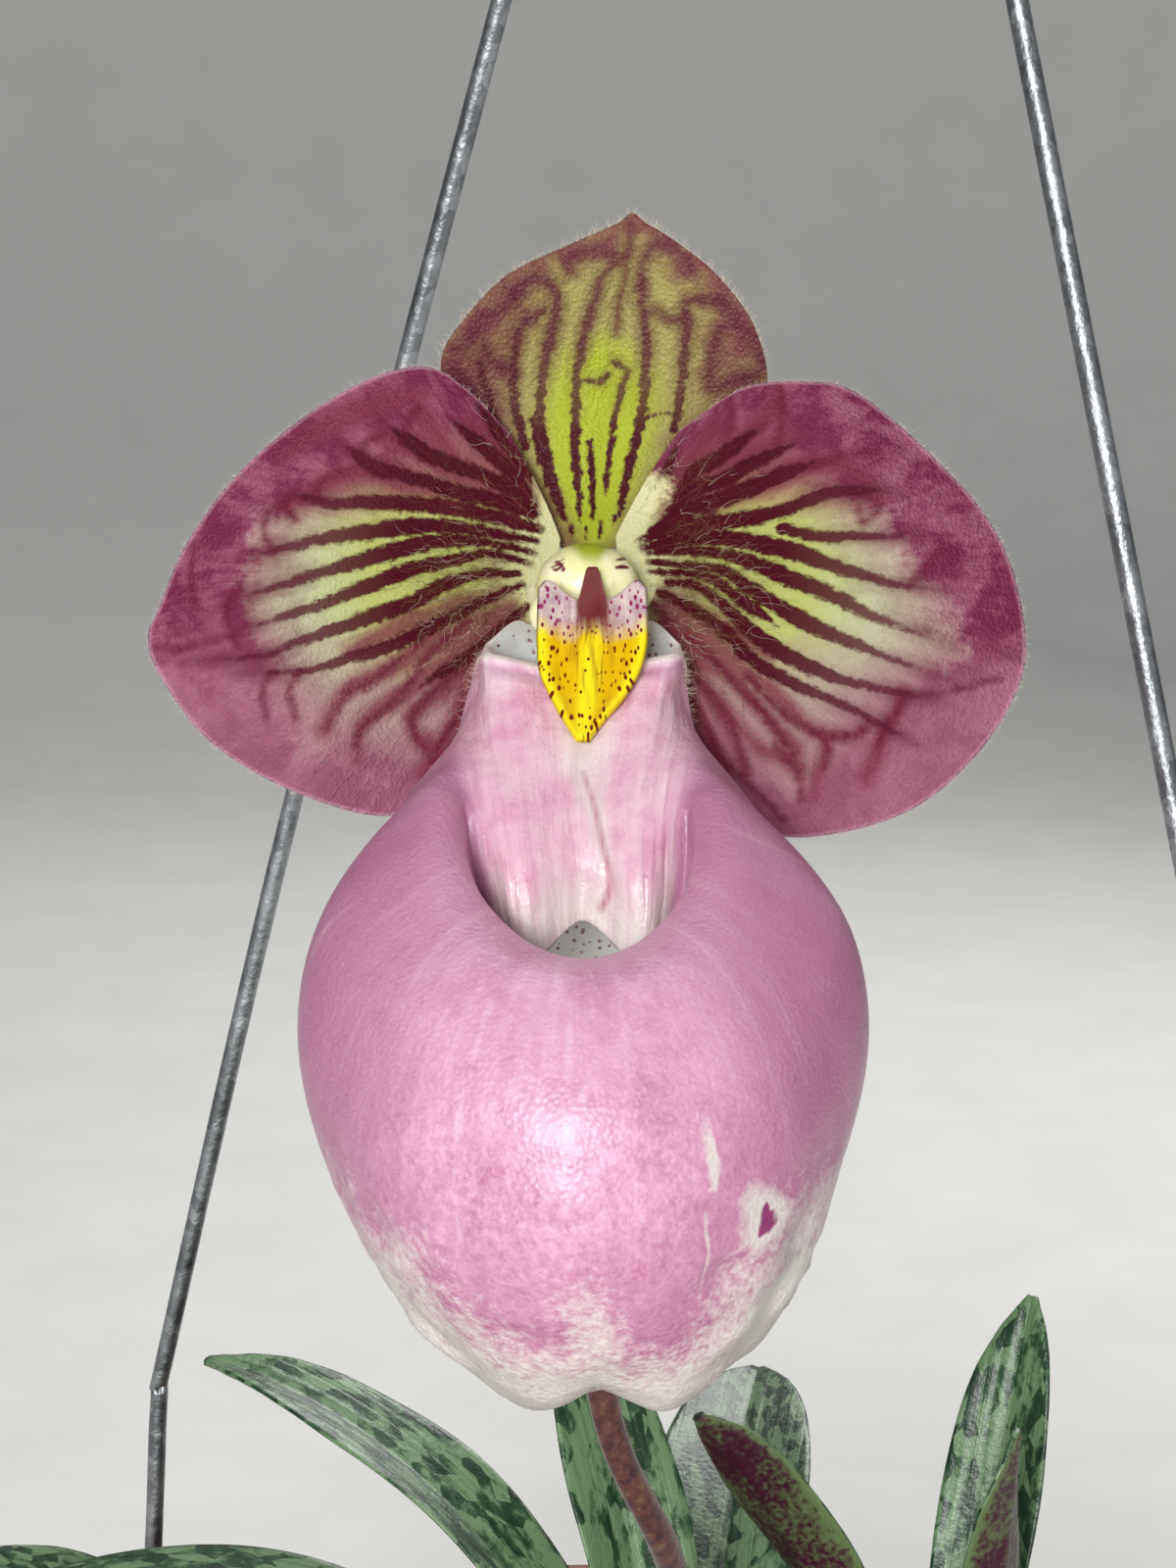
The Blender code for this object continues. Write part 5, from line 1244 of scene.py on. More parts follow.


# Petal tissue: a satin skin of dome-shaped cells, drawn 0.3 mm across so that they show. The maroon
# lies in feathered stripes over yellow-green, and the purple gathers outside. Silvery lilac patches
# there are painted sheen, and the lower part is silvery, partly its own tone and partly painted sheen.
petal, tree, shader = substance("striped_petal_tissue", {"IOR": 1.4, "Specular IOR Level": 0.22})
seen, vein = [add(tree, "Attribute", out=1, attribute_name=name) for name in ("seen", "vein")]
stripe, line, smudge, field, pale, rim = [add(tree, "Attribute", out=2, attribute_name=name)
                                          for name in ("stripe", "line", "smudge", "field", "pale", "rim")]
apart = add(tree, "SeparateXYZ", {0: seen}, out=1)
reach = add(tree, "VectorMath", {0: seen}, out=1, operation="LENGTH")
cells = add(tree, "TexNoise", {0: seen, "Scale": 1 / 0.8, "Detail": 6.0, "Roughness": 0.72})
blotch = add(tree, "TexNoise", {0: seen, "Scale": 1 / 5.0, "Detail": 4.0, "Roughness": 0.55,
                                "Distortion": 0.4})
long_way = add(tree, "Mapping", {0: vein, 3: (1 / 0.7, 1 / 7.0, 1.0)})
streak = add(tree, "TexNoise", {0: long_way, "Scale": 1.0, "Detail": 5.0, "Roughness": 0.65})
along_reach = add(tree, "Math", {0: reach, 1: 1 / 40.0})
inner = add(tree, "ValToRGB", {0: along_reach}, stops=[(0.14, PETAL_BASE), (0.26, PETAL_GREEN),
                                                       (0.50, PETAL_GREEN), (0.68, PETAL_PALE)])
mixed = add(tree, "Math", {0: streak, 1: 0.35, 2: blotch})
speckled = add(tree, "Math", {0: cells, 1: 0.4, 2: mixed})
outer = add(tree, "ValToRGB", {0: mixed}, stops=[(0.52, PETAL_PURPLE), (0.78, PETAL_MAGENTA)])
# Painted sheen: paler silvery lilac patches in the outer zone.
painted_sheen = add(tree, "MapRange", {0: speckled, "From Min": 0.80, "From Max": 1.22})
outer = add(tree, "Mix", {0: painted_sheen, 6: outer, 7: PETAL_LILAC_SHEEN})
# The lower part turns silvery lilac, partly its own tone and partly painted sheen.
low = add(tree, "Math", {0: blotch, 1: -9.0, 2: apart})
lower = add(tree, "MapRange", {0: low, "From Min": -9.0, "From Max": -17.0})
lower_half = add(tree, "Math", {0: lower, 1: 0.5})
inner = add(tree, "Mix", {0: lower, 6: inner, 7: PETAL_SILVER_SHEEN})
high = add(tree, "Math", {0: blotch, 1: 7.0, 2: apart})
blushed = add(tree, "MapRange", {0: high, "From Min": 7.6, "From Max": 12.4, "To Max": 0.9})
inner = add(tree, "Mix", {0: blushed, 6: inner, 7: PETAL_BLUSH})
outer = add(tree, "Mix", {0: lower_half, 6: outer, 7: PETAL_LILAC_SHEEN})
wander = add(tree, "Math", {0: speckled, 1: 9.0, 2: field})
within = add(tree, "MapRange", {0: wander, "From Min": 7.4, "From Max": 14.4})
near = add(tree, "MapRange", {0: reach, "From Min": 11.0, "From Max": 7.0})
within = add(tree, "Math", {0: within, 1: near}, operation="MAXIMUM")
ground = add(tree, "Mix", {0: within, 6: outer, 7: inner})
soft_smudge = add(tree, "Math", {0: speckled, 1: 2.2, 2: smudge})
smudged = add(tree, "MapRange", {0: soft_smudge, "From Min": 0.9, "From Max": 2.2, "To Max": 0.85})
ground = add(tree, "Mix", {0: smudged, 6: ground, 7: PETAL_SMUDGE})
ragged_line = add(tree, "Math", {0: cells, 1: 1.6, 2: line})
lined = add(tree, "MapRange", {0: ragged_line, "From Min": 0.3, "From Max": 1.1, "To Max": 0.9})
netted = add(tree, "Mix", {0: lined, 6: ground, 7: PETAL_LINE})
outside = add(tree, "Math", {0: 1.15, 1: within}, operation="SUBTRACT")
halo = add(tree, "Math", {0: speckled, 1: 1.6, 2: stripe})
haloed = add(tree, "MapRange", {0: halo, "From Min": 0.3, "From Max": 1.7, "To Max": 0.75})
haloed = add(tree, "Math", {0: haloed, 1: outside})
netted = add(tree, "Mix", {0: haloed, 6: netted, 7: PETAL_STRIPE_END})
widen = add(tree, "MapRange", {0: reach, "From Min": 7.0, "From Max": 16.0, "To Min": 0.08,
                               "To Max": 0.22})
stripe = add(tree, "Math", {0: stripe, 1: widen}, operation="ADD")
taper = add(tree, "MapRange", {0: reach, "From Min": 20.0, "From Max": 34.0, "To Max": -0.5})
stripe = add(tree, "Math", {0: stripe, 1: taper}, operation="ADD")
fine = add(tree, "Math", {0: streak, 1: 0.6, 2: cells})
ragged = add(tree, "Math", {0: fine, 1: 1.3, 2: stripe})
striped = add(tree, "MapRange", {0: ragged, "From Min": 0.86, "From Max": 1.14})
ends = add(tree, "MapRange", {0: reach, "From Min": 18.0, "From Max": 34.0})
stripe_colour = add(tree, "Mix", {0: ends, 6: PETAL_STRIPE, 7: PETAL_STRIPE_END})
close_in = add(tree, "MapRange", {0: reach, "From Min": 20.0, "From Max": 8.0, "To Max": 0.5})
veinlet = add(tree, "MapRange", {0: streak, "From Min": 0.54, "From Max": 0.72})
veinlet = add(tree, "Math", {0: veinlet, 1: close_in})
stripe_colour = add(tree, "Mix", {0: veinlet, 6: stripe_colour, 7: PETAL_VEINLET})
faint = add(tree, "Math", {0: ends, 1: -0.22, 2: 1.0})
striped = add(tree, "Math", {0: striped, 1: faint})
stripes = add(tree, "Mix", {0: striped, 6: netted, 7: stripe_colour})
ragged_pale = add(tree, "Math", {0: cells, 1: 4.5, 2: pale})
paled = add(tree, "MapRange", {0: ragged_pale, "From Min": 1.9, "From Max": 3.3})
stripes = add(tree, "Mix", {0: paled, 6: stripes, 7: PETAL_BASE})
edge = add(tree, "MapRange", {0: rim, "From Min": 0.45, "From Max": 0.15, "To Max": 0.45})
colour = add(tree, "Mix", {0: edge, 6: stripes, 7: PETAL_RIM})
domes = add(tree, "TexVoronoi", {0: seen, "Scale": 1 / 0.3})
height = add(tree, "Math", {0: streak, 1: 2.4, 2: domes})
height = add(tree, "Math", {0: striped, 1: 0.7, 2: height})
bump = add(tree, "Bump", {"Height": height, "Strength": 0.6, "Distance": 0.0004})
rough = add(tree, "MapRange", {0: mixed, "From Min": 0.4, "From Max": 0.9, "To Min": 0.55,
                               "To Max": 0.4})
wire(shader, {"Base Color": colour, "Roughness": rough, "Normal": bump})

petal_back = downy_back("downy_petal_back", 1.5, 14.0, [(0.42, PETAL_BACK), (0.60, PETAL_BACK_PALE)], 0.5)

for side, base, outline, strokes, lines, patch, smudges in (
        ("left", ((-2.6, 2.4), (-2.8, -2.6)), PETAL_LEFT, LEFT_STRIPES, LEFT_LINES, LEFT_FIELD,
         LEFT_SMUDGES),
        ("right", ((2.6, 2.6), (2.8, -2.6)), PETAL_RIGHT, RIGHT_STRIPES, RIGHT_LINES, RIGHT_FIELD,
         RIGHT_SMUDGES)):
    rows = fan_rows(base, outline, petal_depth, 200, 120, 0.42)
    rows = rows[:, ::-1] if side == "left" else rows
    blade = skin(side + "_petal", rows)
    strokes = [fine_tail(stroke) for stroke in strokes]
    store_petal(blade, rows, strokes, lines, patch, smudges, PALE_BASE)
    blade.data.transform(flower)
    thicken(blade, PETAL_THICKNESS, 0.35, rim_weights(rows, 2.5))
    fit(blade, [petal, petal_back], "petal", "petal_" + side)
    grow(side + "_petal_fringe", pale_hair, "petal", "petal_" + side, flower,
         *rim_hairs(rows, 520, 0.75, 81), 0.06, 82)
    draw = np.random.default_rng(83)
    every = rows.reshape(-1, 3)
    away = np.hypot(every[:, 0], every[:, 2])
    chance = blend(5.5, 8.0, away) * (1 - blend(11.0, 19.0, away))
    chance = chance * (0.25 + blend(5.0, -2.0, every[:, 2])) * away
    picked = draw.choice(len(every), PETAL_HAIRS, p=chance / chance.sum())
    roots = every[picked] - (0, 0.4 * PETAL_THICKNESS, 0)
    out = roots * (1, 0, 1) / np.linalg.norm(roots * (1, 0, 1), axis=1)[:, None]
    ways = 0.8 * out + np.array((0, -0.55, 0)) + draw.normal(size=(PETAL_HAIRS, 3)) * 0.4
    lengths = draw.uniform(1.2, 3.4, PETAL_HAIRS)
    for name, surface, part in (("_brown_hairs", brown_hair, slice(0, BROWN_HAIRS)),
                                ("_pale_hairs", pale_hair, slice(BROWN_HAIRS, PETAL_HAIRS))):
        grow(side + name, surface, "petal", "petal_" + side, flower, roots[part], ways[part],
             lengths[part], 0.08, 84)


# Column: the waxy green-white mound in the middle of the bloom, freckled with maroon, with an
# anther at each side below.
COLUMN_WHITE = "#f2ebc2"
COLUMN_GREEN = "#e6e4a6"
COLUMN_TOP = "#a3ae2c"
COLUMN_FRECKLE = "#6a2232"
COLUMN_DEPTHS = (-7.0, -6.0, -4.6, -3.4, -2.0, -1.0, -0.2, 0.3, 0.8)
COLUMN_RADII = (2.6, 3.9, 4.6, 4.9, 5.3, 5.9, 6.6, 7.4, 6.4)
COLUMN_DASHES = [
    [(-2.9, 0.1, 0.16), (-2.5, -0.1, 0.2), (-2.2, -0.6, 0.14)],
    [(-3.3, -0.4, 0.1), (-2.9, -0.6, 0.12)],
    [(-2.4, 0.6, 0.1), (-2.1, 0.3, 0.08)],
    [(2.6, 0.3, 0.1), (3.5, 0.5, 0.14)],
    [(2.5, -0.4, 0.12), (3.2, -0.3, 0.16), (3.7, -0.4, 0.1)],
    [(3.0, 0.9, 0.1), (3.4, 1.2, 0.08)],
]


def mound_rows(radii, place):
    """Rings of a rounded, slightly uneven mound, from bottom to top."""
    rows = []
    turn = np.linspace(0, math.tau, 72, endpoint=False)
    for tilt in np.linspace(-math.pi / 2, math.pi / 2, 40):
        way = np.stack([np.cos(turn) * math.cos(tilt), np.sin(turn) * math.cos(tilt),
                        np.full(72, math.sin(tilt))], axis=-1)
        swell = 1 - 0.035 * (1 + ripple(way * 4, 5.0, 41))
        rows.append(np.array(place) + way * np.array(radii) * swell[:, None])
    return np.array(rows)


# Column tissue: waxy and thick, so light spreads inside it and it glows cream.
column_skin, tree, shader = substance("waxy_column_tissue", {
    "Roughness": 0.34, "IOR": 1.42, "Subsurface Weight": 0.7, "Subsurface Scale": 0.002,
    "Subsurface Radius": (1.0, 0.95, 0.8)})
spot = add(tree, "Attribute", out=1, attribute_name="spot")
cloud = add(tree, "TexNoise", {0: spot, "Scale": 1 / 2.6, "Detail": 4.0})
ground = add(tree, "ValToRGB", {0: cloud}, stops=[(0.40, COLUMN_GREEN), (0.58, COLUMN_WHITE)])
dash = add(tree, "Attribute", out=2, attribute_name="dash")
dash = add(tree, "Math", {0: cloud, 1: 0.3, 2: dash})
flecked = add(tree, "MapRange", {0: dash, "From Min": 0.08, "From Max": 0.2})
saddle = add(tree, "Attribute", out=2, attribute_name="saddle")
ground = add(tree, "Mix", {0: saddle, 6: ground, 7: COLUMN_TOP})
colour = add(tree, "Mix", {0: flecked, 6: ground, 7: COLUMN_FRECKLE})
bump = add(tree, "Bump", {"Height": cloud, "Strength": 0.2, "Distance": 0.0004})
wire(shader, {"Base Color": colour, "Normal": bump})
for name, radii, place in (("column_mound", (4.7, 4.3, 3.55), (0, -3.4, -1.95)),
                           ("left_anther", (1.5, 1.6, 1.9), (-3.9, -4.9, -4.9)),
                           ("right_anther", (1.5, 1.6, 1.9), (3.9, -4.9, -4.9))):
    rows = mound_rows(radii, place)
    if name == "column_mound":
        off_axis = rows - np.array(place)
        own = radii[0] * np.sqrt(np.clip(1 - (off_axis[..., 1] / radii[1]) ** 2, 0.02, 1))
        spread = np.interp(rows[..., 1], COLUMN_DEPTHS, COLUMN_RADII) / own - 1
        spread = np.clip(spread, 0, None) * np.where(off_axis[..., 2] > 0, 0.3, 1)
        rows = rows + np.stack([spread, 0 * spread, spread], axis=-1) * off_axis
    made = skin(name, rows, closed=True)
    store(made, "spot", rows.reshape(-1, 3))
    flat = seen_from_front(rows).reshape(-1, 2)
    off_middle = np.clip(np.abs(flat[:, 0] - 0.3) - 0.6, 0, None)
    store(made, "saddle", blend(-0.6, 1.1, flat[:, 1] - 1.1 * off_middle))
    store(made, "dash", np.where(rows[..., 1].ravel() < -3.0, marked(flat, COLUMN_DASHES), -3.0))
    made.data.transform(flower)
    fit(weld(made), column_skin, "column", "column")


# Staminode: a waxy shield in front of the column, white above and bright yellow below, with maroon
# freckles, a centre ridge, and rims that roll forward.
STAMINODE_THICKNESS = 1.0
STAMINODE_YELLOW = "#d3a704"
STAMINODE_LEMON = "#ead61c"
STAMINODE_WHITE = "#c2b1ab"
STAMINODE_LILAC = "#a88f97"
STAMINODE_FRECKLE = "#6a1c08"
LOBE_FRECKLE = "#842a58"
STAMINODE_BROWN = "#8a4a10"
TONGUE_MAROON = "#621c1e"
STAMINODE_LINE = [(0.40, -8.6, -3.9), (0.40, -8.8, -6.0), (0.35, -9.4, -8.0), (0.15, -10.3, -10.2),
                  (-0.05, -11.5, -12.5), (-0.35, -13.0, -14.7), (-0.45, -14.2, -16.3)]
STAMINODE_HALF_WIDTHS = [4.7, 4.8, 4.75, 4.35, 3.2, 1.7, 0.6]
STAMINODE_LOBE = 1.8
STAMINODE_TONGUE = 3.0
STAMINODE_STEPS = 12

side = np.linspace(1, -1, 61)
away = np.abs(side)
top_edge = STAMINODE_LOBE * np.clip((away - 0.3) / 0.55, 0, 1) * (1 - 0.35 * blend(0.85, 1.0, away))
top_edge += STAMINODE_TONGUE * (1 - blend(0.08, 0.3, away))
staminode_line = smooth_line(STAMINODE_LINE, STAMINODE_STEPS)
half_widths = smooth_line([(half,) for half in STAMINODE_HALF_WIDTHS], STAMINODE_STEPS)[:, 0]
rows = []
line_heights = staminode_line[::-1, 2]
line_depths = staminode_line[::-1, 1]
for point, half in zip(staminode_line, half_widths):
    rise = top_edge * blend(-7.0, -3.9, point[2])
    depth = np.interp(point[2] + rise, line_heights, line_depths)
    rolled = -0.9 * away ** 3 * (half / 5) ** 2
    trough = 0.35 * np.exp(-((away - 0.62) / 0.2) ** 2) * blend(1.0, 4.0, half)
    ridge = -0.55 * np.exp(-(side * half / 0.75) ** 2) * blend(-5.0, -9.0, point[2]) * blend(1.0, 4.0, half)
    rows.append(np.stack([point[0] + half * side, depth + rolled + ridge + trough, point[2] + rise], axis=-1))
rows = np.array(rows)
staminode = skin("staminode", rows)
store(staminode, "spot", rows.reshape(-1, 3))
store(staminode, "margin", (half_widths[:, None] * (1 - away)).ravel())
across_mm = np.abs(half_widths[:, None] * side)
tongue_half = 1.35 - 0.5 * blend(-4.6, -1.6, rows[..., 2])
tongue = (1 - blend(tongue_half - 0.4, tongue_half + 0.5, across_mm)) * blend(-8.2, -4.2, rows[..., 2])
store(staminode, "tongue", tongue.ravel())
store(staminode, "ridge", (np.exp(-(across_mm / 0.8) ** 2) + np.exp(-((1 - away) / 0.16) ** 2)).ravel())
staminode.data.transform(flower)
thicken(staminode, STAMINODE_THICKNESS, 0.7, np.tile(1 - np.abs(side) ** 8, len(rows)))

# Staminode tissue: waxy with broad soft highlights, and freckles about 0.5 by 0.8 mm.
shield, tree, shader = substance("waxy_staminode_tissue", {"Roughness": 0.4, "IOR": 1.4,
                                                           "Specular IOR Level": 0.12})
spot = add(tree, "Attribute", out=1, attribute_name="spot")
margin, ridge, tongue = [add(tree, "Attribute", out=2, attribute_name=name)
                         for name in ("margin", "ridge", "tongue")]
tall = add(tree, "SeparateXYZ", {0: spot}, out=2)
cloud = add(tree, "TexNoise", {0: spot, "Scale": 1 / 1.4, "Detail": 4.0, "Roughness": 0.6})
long_way = add(tree, "Mapping", {0: spot, 3: (1 / 0.35, 1 / 4.0, 1 / 4.0)})
fibre = add(tree, "TexNoise", {0: long_way, "Scale": 1.0, "Detail": 3.0})
bright = add(tree, "Math", {0: cloud, 1: 0.6, 2: ridge})
brighter = add(tree, "MapRange", {0: bright, "From Min": 0.3, "From Max": 1.2})
yellow = add(tree, "Mix", {0: brighter, 6: STAMINODE_YELLOW, 7: STAMINODE_LEMON})
white = add(tree, "ValToRGB", {0: cloud}, stops=[(0.40, STAMINODE_LILAC), (0.60, STAMINODE_WHITE)])
turn_height = add(tree, "Math", {0: cloud, 1: 2.2, 2: tall})
turn_height = add(tree, "Math", {0: ridge, 1: -0.9, 2: turn_height})
upper = add(tree, "MapRange", {0: turn_height, "From Min": -6.8, "From Max": -4.8})
ground = add(tree, "Mix", {0: upper, 6: yellow, 7: white})
dashes = add(tree, "Mapping", {0: spot, 3: (1 / 0.48, 1 / 2.0, 1 / 0.84)})
fleck = add(tree, "TexVoronoi", {0: dashes, "Scale": 1.0, "Randomness": 0.85})
near_rim = add(tree, "MapRange", {0: margin, "From Min": 0.3, "From Max": 3.6, "To Min": 0.39,
                                  "To Max": 0.27})
near_rim = add(tree, "Math", {0: ridge, 1: -0.05, 2: near_rim})
small = add(tree, "Math", {0: near_rim, 1: fleck}, operation="SUBTRACT")
flecked = add(tree, "MapRange", {0: small, "From Max": 0.08})
freckle = add(tree, "Mix", {0: upper, 6: STAMINODE_FRECKLE, 7: LOBE_FRECKLE})
beside = add(tree, "MapRange", {0: margin, "From Min": 2.2, "From Max": 3.4, "To Max": 0.6})
streaky = add(tree, "MapRange", {0: fibre, "From Min": 0.48, "From Max": 0.66})
streaky = add(tree, "Math", {0: streaky, 1: beside})
ground = add(tree, "Mix", {0: streaky, 6: ground, 7: STAMINODE_BROWN})
colour = add(tree, "Mix", {0: flecked, 6: ground, 7: freckle})
tongue = add(tree, "Math", {0: fibre, 1: 0.5, 2: tongue})
dark = add(tree, "MapRange", {0: tongue, "From Min": 0.25, "From Max": 1.05})
colour = add(tree, "Mix", {0: dark, 6: colour, 7: TONGUE_MAROON})
bump = add(tree, "Bump", {"Height": cloud, "Strength": 0.15, "Distance": 0.0003})
wire(shader, {"Base Color": colour, "Normal": bump})
fit(staminode, [shield, shield], "staminode", "staminode")


# Pouch: the lip, blown up like a bag about 50 mm across, with an oval mouth whose rim turns in and
# two lobes that fold in over it from behind. Its thin skin is satin pink with paler veins.
POUCH_THICKNESS = 0.9
POUCH_PINK = "#dfaac5"
POUCH_MAUVE = "#c486a6"
POUCH_DEEP = "#b27092"
POUCH_VEIN = "#edcddc"
POUCH_WHITE = "#dad6cd"
# Painted shade colour for the pouch's sides.
POUCH_PAINTED_SHADE = "#a25e82"
POUCH_LOBE = "#fbc4d6"
POUCH_LOBE_DEEP = "#dd8caa"
POUCH_CREAM = "#f4e4de"
POUCH_BRUISED = "#862a64"
# Painted shadow colour along the cleft between the lobes.
CLEFT_SHADOW_COLOUR = "#a83c60"
POUCH_INSIDE = "#f8efe4"
POUCH_FLECK = "#6f3554"
CLEFT = [(-0.8, -13.8), (-0.3, -17.0), (-0.4, -19.4), (0.8, -23.0), (1.4, -25.8), (2.2, -29.2), (1.2, -32.2)]
CLEFT_SHADOW = [[(-0.4, -19.4, 0.0), (0.8, -23.0, 0.02), (1.4, -25.8, 0.07), (2.2, -29.2, 0.12),
                 (1.4, -31.6, 0.14)]]
POUCH_PINK_PART = [(-34.0, -20.0), (-27.5, -47.0), (-24.4, -53.5), (-20.0, -59.5), (-15.2, -62.6),
                   (-11.5, -67.0), (-6.5, -70.5), (-2.6, -70.5), (-0.8, -65.5), (1.6, -65.8),
                   (3.2, -71.0), (7.6, -71.2), (11.6, -66.5), (15.4, -61.5), (19.5, -57.0),
                   (24.5, -52.0), (28.5, -44.0), (34.0, -20.0), (20.0, 0.0), (-20.0, 0.0)]
POUCH_SCAR = [[(8.3, -42.1, 0.08), (9.56, -46.6, 0.16), (9.8, -48.6, 0.14), (10.8, -53.1, 0.55),
               (11.3, -56.2, 0.45), (10.6, -60.2, 0.12), (10.6, -66.2, 0.2), (9.6, -71.7, 0.1)]]
POUCH_BRUISE = [[(15.7, -58.6, 0.35), (16.4, -59.6, 0.6), (16.1, -60.4, 0.5), (15.5, -61.4, 0.4)]]
COLLAR_HAIRS = 420
POUCH_STEPS_ROUND = 13
POUCH_STEPS_ALONG = 15
# Each rib runs from the mouth's free edge, over its rim and down the wall, or over a lobe, to the neck.
POUCH_RIBS = [
    [(0, -27.2, -41.4), (0, -29.6, -38.0), (0, -32.2, -35.0), (0, -38.0, -37.6), (0, -42.8, -47.0),
     (0, -41.0, -59.5), (0, -28.0, -70.2), (0, -7.5, -67.0), (0, 3.0, -42.0), (0, -2.2, -6.1)],
    [(4.6, -26.2, -40.6), (4.7, -28.4, -36.8), (4.9, -30.6, -33.6), (8.4, -36.0, -36.2),
     (12.2, -39.2, -46.0), (12.4, -35.6, -59.6), (6.6, -23.4, -72.4), (6.6, -6.0, -66.0),
     (3.6, 3.0, -41.0), (1.9, -2.3, -6.1)],
    [(8.0, -23.4, -37.0), (8.5, -25.2, -33.4), (8.9, -27.2, -29.8), (13.0, -30.6, -32.4),
     (18.4, -31.8, -40.0), (21.0, -27.2, -50.4), (16.8, -18.0, -62.8), (10.6, -3.6, -57.5),
     (6.4, 2.4, -38.0), (3.6, -2.6, -6.4)],
    [(9.4, -20.2, -32.0), (10.0, -21.6, -28.6), (10.5, -22.6, -25.2), (14.4, -24.4, -26.8),
     (21.6, -22.6, -31.6), (23.8, -18.0, -40.0), (20.4, -8.6, -46.6), (14.6, -2.0, -44.0),
     (8.6, 0.4, -31.0), (6.1, -2.7, -5.4)],
    [(8.8, -17.8, -31.2), (9.5, -18.4, -26.0), (10.2, -18.4, -21.8), (12.6, -17.4, -20.6),
     (14.4, -14.6, -21.6), (16.9, -10.4, -24.6), (15.9, -6.0, -26.6), (12.8, -3.6, -24.4),
     (10.0, -2.8, -16.2), (8.4, -3.4, -7.3)],
    [(6.8, -19.0, -33.0), (7.5, -19.2, -28.6), (8.0, -18.6, -24.0), (9.0, -16.0, -19.8),
     (9.5, -12.8, -17.4), (10.1, -9.6, -16.2), (9.9, -6.8, -14.8), (9.3, -5.2, -12.8),
     (9.2, -4.9, -10.2), (8.5, -5.4, -8.1)],
    [(4.4, -20.6, -35.4), (4.9, -21.3, -31.6), (5.1, -21.0, -27.4), (5.4, -18.8, -23.0),
     (5.9, -16.0, -19.4), (6.4, -13.4, -16.4), (6.8, -11.4, -14.0), (7.1, -9.8, -12.0),
     (7.3, -8.6, -10.2), (7.4, -7.6, -8.8)],
    [(0, -18.2, -32.0), (0, -18.8, -29.2), (0, -18.9, -26.2), (0, -17.4, -22.8),
     (0, -15.2, -19.6), (0, -13.2, -16.8), (0, -11.5, -14.6), (0, -10.0, -12.8),
     (0, -8.8, -11.3), (0, -7.9, -10.1)],
]


def pouch_lean(height):
    """The neck leans to one side and the foot to the other."""
    neck = blend(-34.0, -20.0, height) * blend(-6.0, -14.0, height)
    return -0.4 - 0.6 * neck + 1.4 * blend(-50.0, -73.0, height)


ribs = [smooth_line(rib, POUCH_STEPS_ALONG) for rib in POUCH_RIBS]
ribs += [rib * (-1, 1, 1) for rib in ribs[-2:0:-1]]
count = len(ribs)
columns = []
for index in range(count):
    keys = [ribs[(index + offset) % count] for offset in (-1, 0, 1, 2)]
    for step in range(POUCH_STEPS_ROUND):
        columns.append(span(*keys, step / POUCH_STEPS_ROUND))
rows = np.stack(columns, axis=1)
rows[..., 0] += pouch_lean(rows[..., 2])
around = np.arange(count * POUCH_STEPS_ROUND) / POUCH_STEPS_ROUND
around = np.where(around > 7, around - count, around)
length = np.linspace(0, 9, len(rows))
around, length = np.meshgrid(around, length)
rows, around, length = rows[:, ::-1], around[:, ::-1], length[:, ::-1]
flat = seen_from_front(rows).reshape(-1, 2)
wall = blend(1.8, 2.6, length) * (1 - blend(7.6, 8.4, length))
lobe = blend(4.4, 5.4, np.abs(around)) * (1 - blend(7.4, 8.2, length))
off_cleft = from_line(flat, smooth_line(CLEFT, 6))[0].reshape(length.shape)
lower = blend(-46.0, -62.0, rows[..., 2])
puffs = (0.2 + 0.25 * lower) * ripple(rows, 9.0, 51) + 0.22 * lower * ripple(rows, 4.0, 52)
rows[..., 1] -= puffs * wall * blend(-30.0, -50.0, rows[..., 2])
rows[..., 0] += puffs * wall * lower * np.sign(rows[..., 0])
creases = np.stack([9.0 * around, 1.6 * length, 0 * length], axis=-1)
rows[..., 1] += lobe * (0.35 * np.exp(-(off_cleft / 0.8) ** 2) + 0.2 * ripple(creases, 3.2, 53))
pouch = skin("pouch", rows, closed=True)
white = -inside(flat, POUCH_PINK_PART)
free_edge = 1 - blend(0.4, 2.3, length.ravel())
near_cleft = np.exp(-(off_cleft.ravel() / (1.1 + 1.6 * blend(-24.0, -17.0, flat[:, 1]))) ** 2)
collar = blend(7.9, 8.8, length.ravel())
cream = np.maximum(np.maximum(free_edge, 0.8 * near_cleft) * lobe.ravel(), collar)
store(pouch, "spot", rows.reshape(-1, 3))
store(pouch, "seen", np.pad(flat, ((0, 0), (0, 1))))
store(pouch, "lobe", lobe.ravel())
store(pouch, "white", np.where(rows[..., 1].ravel() < 0, white, 3.0))
store(pouch, "cream", cream)
store(pouch, "cleft", np.where(lobe.ravel() > 0.5, marked(flat, CLEFT_SHADOW), -3.0))
in_front = rows[..., 1].ravel() < -14
store(pouch, "scar", np.where(in_front, marked(flat, POUCH_SCAR), -9.0))
store(pouch, "bruise", np.where(in_front, marked(flat, POUCH_BRUISE), -9.0))
store(pouch, "vein", np.stack([9.0 * around, 12.0 * length, 0 * length], axis=-1).reshape(-1, 3))
pouch.data.transform(flower)
folded = blend(3.4, 4.2, np.abs(around)) * (1 - blend(8.0, 8.6, length))
full = np.clip(np.minimum(length, 9 - length) / 0.4, 0, 1) * (1 - folded)
thicken(pouch, POUCH_THICKNESS, 0.45, full.ravel())
